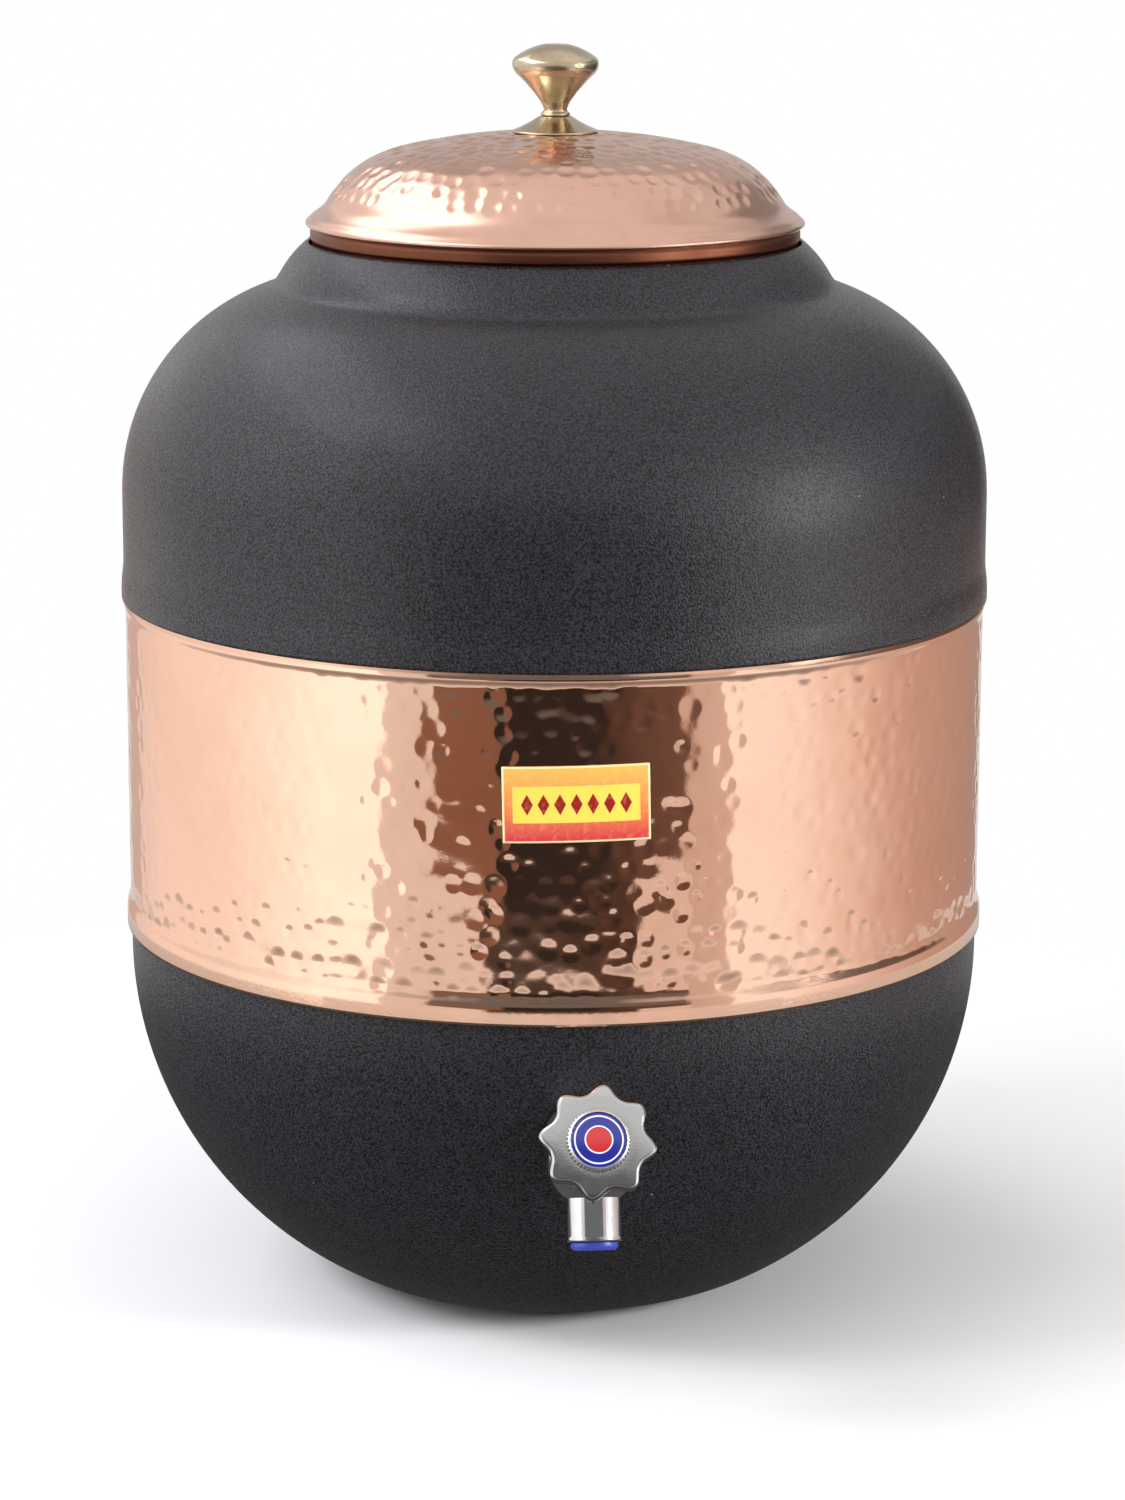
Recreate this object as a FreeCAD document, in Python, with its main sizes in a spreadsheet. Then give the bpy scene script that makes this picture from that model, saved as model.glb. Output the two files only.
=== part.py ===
"""Copper water pot with a lid and a screw-down tap, in millimetres.

The origin is the centre of the foot, +Z is up and the tap faces -Y. The pot is
three lapped sheets of copper, the lid plugs into its neck, and the tap goes
through the wall of the bowl with a gasket on each side.
"""
import FreeCAD, Part
import math
import os
import re

import Sketcher

SIZES = {
    # Sheets of the pot and their laps.
    "sheet_t": 0.8,
    "band_r": 107.0,
    "band_h": 83.0,
    "lap_play": 0.1,
    "lap_h": 4.8,
    "lap_rise": 1.8,
    "lap_end": 0.5,
    "seam_w": 0.6,
    "seam_h": 3.0,
    # Bowl.
    "base_step": 0.2,
    "base_h": 90.9,
    "base_side_arc": 93.0,
    "base_turn": 29.5,
    "base_corner_arc": 36.0,
    # Shoulder and neck.
    "dome_step": 0.3,
    "side_h": 26.1,
    "shoulder_arc": 52.3,
    "neck_w": 8.2,
    "neck_h": 10.8,
    "neck_arc": 27.0,
    "lip_r": 61.0,
    # Label.
    "label_w": 34.1,
    "label_h": 17.9,
    "label_t": 0.2,
    "label_glue": 0.1,
    "label_z": 143.6,
    "label_turn": -1.5,
    # Lid.
    "rim_lift": 4.5,
    "rim_out": 0.6,
    "rim_bead_r": 0.9,
    "rim_edge": 0.45,
    "lid_turn_in": 5.7,
    "lid_turn_h": 3.9,
    "lid_shoulder_arc": 27.0,
    "lid_crown_in": 23.4,
    "lid_crown_arc": 160.0,
    "lid_h": 22.0,
    "skirt_play": 0.5,
    "skirt_depth": 16.0,
    "stop_out": 1.1,
    "stop_h": 2.3,
    "seat_gap": 0.3,
    # Knob and its fixing.
    "knob_r": 10.6,
    "knob_edge_h": 2.5,
    "knob_bevel": 0.5,
    "knob_top_r": 3.0,
    "knob_cap_h": 3.2,
    "knob_cap_arc": 17.0,
    "knob_neck_r": 2.7,
    "knob_stem_h": 10.4,
    "knob_stem_arc": 18.5,
    "knob_ring_r": 3.6,
    "knob_ring_h": 1.3,
    "flange_r": 10.6,
    "flange_top_r": 3.9,
    "flange_h": 4.0,
    "flange_edge": 0.5,
    "flange_hub_r": 3.6,
    "flange_lip": 1.0,
    "knob_screw_r": 2.0,
    "knob_thread": 9.0,
    "screw_head_r": 3.8,
    "screw_head_h": 2.2,
    "washer_r": 7.0,
    "washer_t": 0.8,
    # Tap through the wall.
    "tap_z": 62.9,
    "tap_reach": 11.6,
    "inlet_back": 6.0,
    "shank_r": 6.0,
    "shank_bore_r": 3.2,
    "inlet_end": 1.0,
    "shank_in": 11.2,
    "shank_neck_r": 6.6,
    "hole_play": 0.3,
    "gasket_t": 2.0,
    "gasket_r": 10.0,
    "wall_flange_r": 9.4,
    "wall_flange_t": 2.0,
    "back_washer_t": 1.0,
    "nut_r": 10.2,
    "nut_t": 5.0,
    # Tap body, with heights along the barrel counted from the globe's centre.
    "tap_rise": 30.0,
    "globe_r": 11.0,
    "collar_r": 9.8,
    "collar_top": 7.5,
    "cavity_r": 8.0,
    "cavity_floor": -2.6,
    "seat_r": 4.2,
    "seat_top": -2.0,
    "port_r": 3.0,
    "port_end": -8.0,
    "spout_lean": 20.0,
    "spout_r": 6.35,
    "spout_len": 19.0,
    "spout_lip_r": 6.6,
    "spout_lip_h": 1.0,
    "spout_bore_r": 4.9,
    "spout_bore_start": 6.5,
    "nozzle_bore_r": 4.0,
    "nozzle_len": 10.0,
    "nozzle_collar_r": 5.5,
    "nozzle_collar_h": 1.9,
    "nozzle_bevel": 0.7,
    # Valve, all heights along the barrel with the valve shut.
    "fit": 0.05,
    "overrun": 1.0,
    "seal_gap": 0.05,
    "valve_r": 4.8,
    "valve_t": 1.6,
    "jumper_r": 5.2,
    "jumper_t": 1.0,
    "jumper_pin_r": 1.4,
    "jumper_pin_h": 3.5,
    "jumper_stud_r": 1.0,
    "jumper_nut_r": 2.3,
    "jumper_nut_h": 1.2,
    "spindle_thread_r": 3.9,
    "spindle_thread_h": 5.4,
    "stem_r": 3.0,
    "square": 4.2,
    "square_top": 16.2,
    "plug_bottom": 3.0,
    "bonnet_hex_r": 9.2,
    "bonnet_hex_h": 2.5,
    "boss_r": 5.8,
    "boss_h": 2.2,
    "thread_top": 8.4,
    "packing_floor": 9.4,
    "packing_r": 4.6,
    "packing_h": 1.7,
    "gland_r": 7.0,
    "gland_top": 13.0,
    # Handwheel and its cap.
    "wheel_back": 13.6,
    "wheel_face": 18.6,
    "wheel_r": 13.4,
    "wheel_lobes": 8.0,
    "wheel_start": -8.0,
    "scallop_r": 6.06,
    "scallop_out": 16.96,
    "tip_round": 0.7,
    "face_round": 0.6,
    "well_r": 5.2,
    "well_floor": 16.4,
    "wheel_screw_r": 1.2,
    "wheel_screw_h": 4.6,
    "wheel_head_r": 3.0,
    "wheel_head_h": 1.6,
    "cap_r": 7.05,
    "cap_h": 2.0,
    "cap_rim": 0.65,
    "cap_plate": 1.1,
    "cap_plug_t": 0.8,
    "cap_plug_h": 1.0,
    "disc_t": 0.5,
    "disc_crown": 0.4,
}

LAYOUT = {
    # Bowl.
    "base_r": "band_r - base_step",
    "base_arc_top": "base_side_arc * cos(base_turn) + base_corner_arc * (1 - cos(base_turn))",
    "base_turn_r": "base_r - base_side_arc * (1 - sin(base_turn))",
    "base_turn_z": "base_corner_arc * (1 - cos(base_turn))",
    "foot_r": "base_turn_r - base_corner_arc * sin(base_turn)",
    "base_top": "base_h + lap_h - lap_end",
    # Band and upper shell.
    "bead_r": "band_r + lap_play + sheet_t",
    "dome_r": "band_r + dome_step",
    "dome_z": "base_h + band_h",
    "band_top": "dome_z + lap_h - lap_end",
    "shoulder_z": "dome_z + side_h",
    "crease_r": "lip_r + neck_w",
    "crease_z": "shoulder_z + sqrt(shoulder_arc ^ 2 - (crease_r - dome_r + shoulder_arc) ^ 2)",
    "lip_z": "crease_z + neck_h",
    "mouth_r": "lip_r - sheet_t",
    # Lid.
    "rim_z": "lip_z + rim_lift",
    "rim_r": "lip_r + rim_out",
    "lid_edge_r": "rim_r - rim_edge",
    "lid_turn_r": "rim_r - lid_turn_in",
    "lid_crown_r": "rim_r - lid_crown_in",
    "skirt_r": "mouth_r - skirt_play",
    "stop_r": "skirt_r + stop_out",
    "lid_top": "rim_z + lid_h",
    "crown_edge_z": "lid_top - lid_crown_arc + sqrt(lid_crown_arc ^ 2 - lid_crown_r ^ 2)",
    "rim_slope": "atan(lid_turn_h / (lid_edge_r - lid_turn_r)) / 1 deg",
    "shoulder_w": "lid_turn_r - lid_crown_r",
    "shoulder_h": "crown_edge_z - rim_z - lid_turn_h",
    "shoulder_slope": "(atan(shoulder_h / shoulder_w) "
                      "+ asin(sqrt(shoulder_w ^ 2 + shoulder_h ^ 2) / 2 / lid_shoulder_arc)) / 1 deg",
    "crown_slope": "asin(lid_crown_r / lid_crown_arc) / 1 deg",
    "turn_slope": "(rim_slope + shoulder_slope) / 2",
    "turn_gap": "sheet_t / cos((shoulder_slope - rim_slope) / 2)",
    "skirt_top": "rim_z + (lid_edge_r - skirt_r) * tan(rim_slope) - sheet_t / cos(rim_slope) - fit",
    "washer_top": "lid_top - sheet_t - washer_r ^ 2 / (2 * (lid_crown_arc - sheet_t)) - fit",
    "washer_z": "washer_top - washer_t",
    # Knob.
    "flange_z": "lid_top - (flange_r - flange_lip) ^ 2 / (2 * lid_crown_arc) + fit",
    "flange_top": "flange_z + flange_h",
    "ring_top": "flange_top + knob_ring_h",
    "knob_edge_z": "ring_top + knob_stem_h",
    "knob_top": "knob_edge_z + knob_edge_h + knob_cap_h",
    "screw_end": "lid_top + knob_thread",
    # Wall at the tap.
    "wall_drop": "base_arc_top - tap_z",
    "wall_lean": "asin(wall_drop / base_side_arc) / 1 deg",
    "wall_r": "base_r - base_side_arc + sqrt(base_side_arc ^ 2 - wall_drop ^ 2)",
    "globe_y": "-(wall_r + tap_reach * cos(wall_lean) + inlet_back * cos(tap_rise))",
    "globe_z": "tap_z - tap_reach * sin(wall_lean) + inlet_back * sin(tap_rise)",
    # Along the shank, counted outwards from the wall's outer face.
    "flange_out": "gasket_t + wall_flange_t",
    "back_gasket": "-sheet_t - gasket_t",
    "back_washer": "back_gasket - fit - back_washer_t",
    "nut_back": "back_washer - fit - nut_t",
    # Along the barrel.
    "valve_bottom": "seat_top + seal_gap",
    "jumper_bottom": "valve_bottom + valve_t",
    "jumper_top": "jumper_bottom + jumper_t",
    "jumper_nut_top": "valve_bottom - fit",
    "spindle_bottom": "jumper_top + fit",
    "spindle_shoulder": "spindle_bottom + spindle_thread_h",
    "stem_top": "wheel_back - fit",
    "hex_top": "collar_top + bonnet_hex_h",
    "boss_top": "hex_top + boss_h",
    "packing_top": "packing_floor + fit + packing_h",
    "plate_top": "wheel_face + cap_plate",
    "cap_top": "wheel_face + cap_h",
    "disc_r": "cap_r - cap_rim - fit",
    "scallop_turn": "wheel_start + 180 / wheel_lobes",
    "scallop_x": "scallop_out * cos(scallop_turn)",
    "scallop_y": "scallop_out * sin(scallop_turn)",
    "spout_end": "spout_len + nozzle_collar_h",
}

# An axis is the y and z of its start and its turn about X from +Z, in degrees.
AXES = {
    "pot": ("0", "0", "0"),
    "shank": ("-wall_r", "tap_z", "90 + wall_lean"),
    "barrel": ("globe_y", "globe_z", "90 - tap_rise"),
    "spout": ("globe_y", "globe_z", "180 - spout_lean"),
}

doc = FreeCAD.newDocument("CopperWaterPot")


def bound(text):
    """Return an expression in which each named size points at the cell or value that holds it."""
    def qualify(match):
        word = match.group(0)
        if word in SIZES:
            return "Sizes." + word
        if word in LAYOUT:
            return "Layout." + word
        return word
    return re.sub(r"[a-z_][a-z_0-9]*", qualify, text)


def make_sizes():
    """Write the driving sizes to the spreadsheet, one named cell each."""
    sheet = doc.addObject("Spreadsheet::Sheet", "Sizes")
    for row, (name, size) in enumerate(SIZES.items(), start=1):
        sheet.set("A%d" % row, name)
        sheet.set("B%d" % row, str(size))
        sheet.setAlias("B%d" % row, name)
    doc.recompute()
    layout = doc.addObject("App::VarSet", "Layout")
    for name, text in LAYOUT.items():
        layout.addProperty("App::PropertyFloat", name, "Layout")
        layout.setExpression(name, bound(text))
        doc.recompute()
    return layout


layout = make_sizes()


def value(text):
    """Return the present value of an expression in the named sizes."""
    found = layout.evalExpression(bound(text))
    return float(getattr(found, "Value", found))


def place(piece, axis, start="0"):
    """Bind a piece's placement to an axis, at a distance along it."""
    y_text, z_text, turn_text = AXES[axis]
    texts = {
        ".Placement.Base.y": "(%s) - (%s) * sin(%s)" % (y_text, start, turn_text),
        ".Placement.Base.z": "(%s) + (%s) * cos(%s)" % (z_text, start, turn_text),
        ".Placement.Rotation.Angle": turn_text,
    }
    base = FreeCAD.Vector(0, value(texts[".Placement.Base.y"]), value(texts[".Placement.Base.z"]))
    turn = FreeCAD.Rotation(FreeCAD.Vector(1, 0, 0), value(turn_text))
    piece.Placement = FreeCAD.Placement(base, turn)
    if axis == "pot" and start == "0":
        return
    for path, text in texts.items():
        piece.setExpression(path, bound(text))


def left_arc(start, end, radius):
    """Return the shorter arc between two points that turns left, as sketch geometry."""
    chord = end.sub(start)
    half = chord.Length / 2
    rise = math.sqrt(max(radius * radius - half * half, 0.0))
    side = FreeCAD.Vector(-chord.y, chord.x, 0).normalize()
    centre = (start + end) * 0.5 + side * rise
    first = math.atan2(start.y - centre.y, start.x - centre.x)
    last = math.atan2(end.y - centre.y, end.x - centre.x)
    circle = Part.Circle(centre, FreeCAD.Vector(0, 0, 1), radius)
    return Part.ArcOfCircle(circle, first, last)


def origin_plane(body, role):
    """Return one of a body's own origin planes."""
    return [item for item in body.Origin.OriginFeatures if item.Role == role][0]


def new_sketch(body, name, role="XZ_Plane"):
    """Add an empty sketch on one of the body's origin planes."""
    sketch = body.newObject("Sketcher::SketchObject", name)
    sketch.AttachmentSupport = [(origin_plane(body, role), "")]
    sketch.MapMode = "FlatFace"
    return sketch


def hold(sketch, kind, *where_and_text):
    """Add a dimension to a sketch and bind it to an expression."""
    where, text = where_and_text[:-1], where_and_text[-1]
    index = sketch.addConstraint(Sketcher.Constraint(kind, *where, value(text)))
    sketch.setExpression("Constraints[%d]" % index, bound(text))


def hold_point(sketch, item, end, x_text, y_text):
    """Fix one end of a sketch line or arc to a bound place."""
    for kind, text, axis in (("DistanceX", x_text, -2), ("DistanceY", y_text, -1)):
        if text == "0":
            sketch.addConstraint(Sketcher.Constraint("PointOnObject", item, end, axis))
        else:
            hold(sketch, kind, -1, 1, item, end, text)


def draw_outline(sketch, corners):
    """Draw a closed outline through its corners.

    A corner is (x, y), or (x, y, radius) where an arc that turns left follows it, or
    (x, y, radius, "right") where the arc turns right.
    """
    points = [FreeCAD.Vector(value(corner[0]), value(corner[1]), 0) for corner in corners]
    count = len(corners)
    firsts = []
    for index, corner in enumerate(corners):
        start, end = points[index], points[(index + 1) % count]
        firsts.append(2 if len(corner) == 4 else 1)
        if len(corner) == 2:
            sketch.addGeometry(Part.LineSegment(start, end), False)
        elif len(corner) == 3:
            sketch.addGeometry(left_arc(start, end, value(corner[2])), False)
        else:
            sketch.addGeometry(left_arc(end, start, value(corner[2])), False)
    for index in range(count):
        after = (index + 1) % count
        sketch.addConstraint(
            Sketcher.Constraint("Coincident", index, 3 - firsts[index], after, firsts[after]))
    for index, corner in enumerate(corners):
        hold_point(sketch, index, firsts[index], corner[0], corner[1])
        if len(corner) > 2:
            hold(sketch, "Radius", index, corner[2])


def revolve(body, sketch, name):
    """Turn a sketch once about the body's own axis."""
    feature = body.newObject("PartDesign::Revolution", name)
    feature.Profile = sketch
    feature.ReferenceAxis = (sketch, ["V_Axis"])
    feature.Angle = 360
    body.Tip = feature
    doc.recompute()
    return feature


def turned(label, axis, corners, start="0"):
    """Make a turned piece from its half outline, in radius and height along its axis."""
    body = doc.addObject("PartDesign::Body", label)
    sketch = new_sketch(body, label + "_outline")
    draw_outline(sketch, corners)
    revolve(body, sketch, label + "_turned")
    place(body, axis, start)
    return body


def spun(label, corners, open_heights):
    """Make a sheet-metal shell: an outline turned solid, then hollowed and opened at flat faces."""
    body = turned(label, "pot", corners)
    solid = body.Tip
    heights = [value(text) for text in open_heights]
    faces = []
    for index, face in enumerate(solid.Shape.Faces, start=1):
        flat = isinstance(face.Surface, Part.Plane)
        if flat and any(abs(face.CenterOfMass.z - height) < 1e-4 for height in heights):
            faces.append("Face%d" % index)
    shell = body.newObject("PartDesign::Thickness", label + "_sheet")
    shell.Base = (solid, faces)
    shell.Value = value("sheet_t")
    shell.setExpression("Value", bound("sheet_t"))
    shell.Reversed = True
    body.Tip = shell
    doc.recompute()
    return body


def cylinder(name, axis, radius, start, end):
    """Make a cylinder from one distance along an axis to another."""
    piece = doc.addObject("Part::Cylinder", name)
    piece.setExpression("Radius", bound(radius))
    piece.setExpression("Height", bound("(%s) - (%s)" % (end, start)))
    place(piece, axis, start)
    return piece


def hexagon(name, axis, radius, start, end):
    """Make a hexagonal prism between two distances along an axis."""
    piece = doc.addObject("Part::Prism", name)
    piece.Polygon = 6
    piece.setExpression("Circumradius", bound(radius))
    piece.setExpression("Height", bound("(%s) - (%s)" % (end, start)))
    place(piece, axis, start)
    return piece


def fused(label, pieces):
    """Join solids into one."""
    joined = doc.addObject("Part::MultiFuse", label)
    joined.Shapes = pieces
    return joined


def cut(label, base, tool):
    """Take one solid away from another."""
    rest = doc.addObject("Part::Cut", label)
    rest.Base = base
    rest.Tool = tool
    return rest


def common(label, base, tool):
    """Keep what two solids share."""
    shared = doc.addObject("Part::MultiCommon", label)
    shared.Shapes = [base, tool]
    return shared


def bowl_outline(inset):
    """Return the bowl's half outline, moved in from the outer face by an expression."""
    return [
        ("0", inset),
        ("foot_r", inset, "base_corner_arc - (%s)" % inset),
        ("base_turn_r - (%s) * sin(base_turn)" % inset,
         "base_turn_z + (%s) * cos(base_turn)" % inset,
         "base_side_arc - (%s)" % inset),
        ("base_r - (%s)" % inset, "base_arc_top"),
        ("base_r - (%s)" % inset, "base_top"),
        ("0", "base_top"),
    ]


def lapped_wall(radius, low, high):
    """Return the corners of the outer face above a lap bead, from its lower to its upper edge."""
    return [
        ("bead_r", low),
        ("bead_r", "%s + lap_h" % low),
        (radius, "%s + lap_h + lap_rise" % low),
        (radius, high),
    ]


def make_bowl():
    """Base shell with the tap's hole, and the solids that the gaskets are shaped against."""
    bowl = spun("bowl", bowl_outline("0"), ["base_top"])
    hole = cylinder("tap_hole", "shank", "shank_r + hole_play", "-shank_in", "flange_out")
    shell = cut("base_shell", bowl, hole)
    outside = turned("bowl_outside", "pot", bowl_outline("0"))
    inside = turned("bowl_inside", "pot", bowl_outline("sheet_t"))
    return shell, outside, inside


def make_band():
    """Hammered band, whose lower bead laps over the bowl."""
    outer = lapped_wall("band_r", "base_h", "band_top")
    inner = [(radius + " - sheet_t", height) for radius, height in reversed(outer)]
    return turned("hammered_band", "pot", outer + inner)


def make_upper_shell():
    """Shoulder and neck in one sheet, lapped over the band below and trimmed true at the mouth."""
    corners = [("0", "dome_z")] + lapped_wall("dome_r", "dome_z", "shoulder_z")
    corners[-1] += ("shoulder_arc",)
    corners += [
        ("crease_r", "crease_z", "neck_arc"),
        ("lip_r", "lip_z"),
        ("0", "lip_z"),
    ]
    sheet = spun("upper_sheet", corners, ["dome_z", "lip_z"])
    trim = cylinder("mouth_trim", "pot", "mouth_r", "lip_z - 2 * sheet_t", "lip_z + overrun")
    return cut("upper_shell", sheet, trim)


def make_seam(label, edge_r, wall_r, height):
    """Solder fillet between the top edge of one sheet and the inner face of the sheet outside it."""
    return turned(label, "pot", [
        ("%s - sheet_t" % edge_r, "%s + fit" % height),
        ("%s - sheet_t + seam_w" % edge_r, "%s + fit" % height),
        ("%s - sheet_t - fit" % wall_r, "%s + lap_end + lap_rise" % height),
        ("%s - sheet_t - fit" % wall_r, "%s + seam_h" % height),
    ])


def make_label():
    """Thin label that lies on the band, above the tap."""
    body = doc.addObject("PartDesign::Body", "front_label")
    sketch = new_sketch(body, "front_label_section", "YZ_Plane")
    draw_outline(sketch, [
        ("-(band_r + label_glue)", "label_z - label_h / 2"),
        ("-(band_r + label_glue)", "label_z + label_h / 2"),
        ("-(band_r + label_glue + label_t)", "label_z + label_h / 2"),
        ("-(band_r + label_glue + label_t)", "label_z - label_h / 2"),
    ])
    wrap = body.newObject("PartDesign::Revolution", "front_label_wrap")
    wrap.Profile = sketch
    wrap.ReferenceAxis = (sketch, ["V_Axis"])
    wrap.setExpression("Angle", bound("label_w / band_r * 180 / pi"))
    wrap.Midplane = True
    body.Tip = wrap
    body.Placement = FreeCAD.Placement(
        FreeCAD.Vector(0, 0, 0), FreeCAD.Rotation(FreeCAD.Vector(0, 0, 1), value("label_turn")))
    body.setExpression(".Placement.Rotation.Angle", bound("label_turn"))
    doc.recompute()
    return body


def make_lid_cover():
    """Domed cover with a rolled rim and the screw's hole at its top."""
    body = turned("cover", "pot", [
        ("lid_edge_r", "rim_z"),
        ("lid_turn_r", "rim_z + lid_turn_h", "lid_shoulder_arc"),
        ("lid_crown_r", "crown_edge_z", "lid_crown_arc"),
        ("0", "lid_top"),
        ("0", "lid_top - sheet_t", "lid_crown_arc - sheet_t", "right"),
        ("lid_crown_r - sheet_t * sin(crown_slope)", "crown_edge_z - sheet_t * cos(crown_slope)",
         "lid_shoulder_arc - sheet_t", "right"),
        ("lid_turn_r - turn_gap * sin(turn_slope)",
         "rim_z + lid_turn_h - turn_gap * cos(turn_slope)"),
        ("lid_edge_r - sheet_t / sin(rim_slope)", "rim_z"),
    ])
    bead = body.newObject("Sketcher::SketchObject", "rim_section")
    bead.AttachmentSupport = [(origin_plane(body, "XZ_Plane"), "")]
    bead.MapMode = "FlatFace"
    centre = FreeCAD.Vector(value("rim_r - rim_bead_r"), value("rim_z"), 0)
    bead.addGeometry(Part.Circle(centre, FreeCAD.Vector(0, 0, 1), value("rim_bead_r")), False)
    hold_point(bead, 0, 3, "rim_r - rim_bead_r", "rim_z")
    hold(bead, "Radius", 0, "rim_bead_r")
    revolve(body, bead, "rolled_rim")
    hole = cylinder("knob_hole", "pot", "knob_screw_r + hole_play", "washer_z", "flange_top")
    return cut("lid_cover", body, hole)


def make_skirt():
    """Collar under the cover that plugs the mouth, with the raised stop that rests on the lip."""
    return turned("lid_skirt", "pot", [
        ("skirt_r - sheet_t", "lip_z - skirt_depth"),
        ("skirt_r", "lip_z - skirt_depth"),
        ("skirt_r", "lip_z + seat_gap"),
        ("stop_r", "lip_z + seat_gap"),
        ("stop_r", "lip_z + seat_gap + stop_h"),
        ("skirt_r", "lip_z + seat_gap + stop_h"),
        ("skirt_r", "skirt_top"),
        ("skirt_r - sheet_t", "skirt_top"),
    ])


def make_knob():
    """Turned knob, its flange, and the screw and washer that hold it from below."""
    knob = turned("lid_knob", "pot", [
        ("knob_screw_r", "flange_top + fit"),
        ("knob_ring_r", "flange_top + fit"),
        ("knob_ring_r", "flange_top + knob_ring_h / 2"),
        ("knob_neck_r", "ring_top", "knob_stem_arc", "right"),
        ("knob_r - knob_bevel", "knob_edge_z"),
        ("knob_r", "knob_edge_z + knob_bevel"),
        ("knob_r", "knob_edge_z + knob_edge_h - knob_bevel"),
        ("knob_r - knob_bevel", "knob_edge_z + knob_edge_h", "knob_cap_arc"),
        ("knob_top_r", "knob_top"),
        ("0", "knob_top"),
        ("0", "screw_end + fit"),
        ("knob_screw_r", "screw_end + fit"),
    ])
    flange = turned("knob_flange", "pot", [
        ("knob_screw_r + hole_play", "lid_top + fit"),
        ("flange_hub_r", "lid_top + fit"),
        ("flange_hub_r", "flange_top - sheet_t"),
        ("flange_r - flange_lip", "flange_z"),
        ("flange_r", "flange_z"),
        ("flange_r", "flange_z + flange_edge"),
        ("flange_top_r", "flange_top"),
        ("knob_screw_r + hole_play", "flange_top"),
    ])
    washer = turned("knob_washer", "pot", [
        ("knob_screw_r + hole_play", "washer_z"),
        ("washer_r", "washer_z"),
        ("washer_r", "washer_top"),
        ("knob_screw_r + hole_play", "washer_top"),
    ])
    screw = turned("knob_screw", "pot", [
        ("0", "washer_z - fit - screw_head_h"),
        ("screw_head_r", "washer_z - fit - screw_head_h"),
        ("screw_head_r", "washer_z - fit"),
        ("knob_screw_r - fit", "washer_z - fit"),
        ("knob_screw_r - fit", "screw_end"),
        ("0", "screw_end"),
    ])
    return [knob, flange, washer, screw]


def make_shank_parts(outside, inside):
    """Gaskets shaped to the bowl's wall on both sides, with the washer and nut inside."""
    gasket_hole = cylinder("gasket_hole", "shank", "shank_r + fit", "-shank_in", "flange_out")
    outer_blank = cylinder("outer_gasket_blank", "shank", "gasket_r", "-gasket_t", "gasket_t")
    outer = cut("outer_gasket", cut("outer_gasket_ring", outer_blank, gasket_hole), outside)
    inner_blank = cylinder("inner_gasket_blank", "shank", "gasket_r", "back_gasket", "gasket_t")
    inner = common("inner_gasket", cut("inner_gasket_ring", inner_blank, gasket_hole), inside)
    washer = turned("shank_washer", "shank", [
        ("shank_r + fit", "back_washer"),
        ("gasket_r", "back_washer"),
        ("gasket_r", "back_gasket - fit"),
        ("shank_r + fit", "back_gasket - fit"),
    ])
    blank = hexagon("shank_nut_blank", "shank", "nut_r", "nut_back", "back_washer - fit")
    nut = cut("shank_nut", blank, gasket_hole)
    return [outer, inner, washer, nut]


def make_tap_body():
    """Cast body: globe, collar for the bonnet, spout, and the shank with its wall flange."""
    globe = doc.addObject("Part::Sphere", "globe")
    globe.setExpression("Radius", bound("globe_r"))
    place(globe, "barrel")
    blank = fused("tap_blank", [
        globe,
        cylinder("collar", "barrel", "collar_r", "0", "collar_top"),
        cylinder("spout_tube", "spout", "spout_r", "0", "spout_len"),
        cylinder("spout_lip", "spout", "spout_lip_r", "spout_len - spout_lip_h", "spout_len"),
        cylinder("shank_neck", "shank", "shank_neck_r", "gasket_t", "tap_reach"),
        cylinder("wall_flange", "shank", "wall_flange_r", "gasket_t", "flange_out"),
        cylinder("shank_rod", "shank", "shank_r", "-shank_in", "flange_out"),
    ])
    bored = turned("valve_room", "barrel", [
        ("0", "port_end"),
        ("port_r", "port_end"),
        ("port_r", "seat_top"),
        ("seat_r", "seat_top"),
        ("seat_r", "cavity_floor"),
        ("cavity_r", "cavity_floor"),
        ("cavity_r", "collar_top"),
        ("globe_r", "collar_top"),
        ("globe_r", "globe_r + overrun"),
        ("0", "globe_r + overrun"),
    ])
    ways = fused("water_ways", [
        bored,
        cylinder("shank_bore", "shank", "shank_bore_r", "-shank_in - overrun", "tap_reach - inlet_end"),
        cylinder("spout_bore", "spout", "spout_bore_r", "spout_bore_start", "spout_len + overrun"),
    ])
    return cut("tap_body", blank, ways)


def make_nozzle():
    """Plastic insert pressed into the spout, with a bevelled collar below the chrome."""
    return turned("spout_nozzle", "spout", [
        ("nozzle_bore_r", "spout_len - nozzle_len"),
        ("spout_bore_r - fit", "spout_len - nozzle_len"),
        ("spout_bore_r - fit", "spout_len + fit"),
        ("nozzle_collar_r", "spout_len + fit"),
        ("nozzle_collar_r", "spout_end - nozzle_bevel"),
        ("nozzle_collar_r - nozzle_bevel", "spout_end"),
        ("nozzle_bore_r", "spout_end"),
    ])


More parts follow.
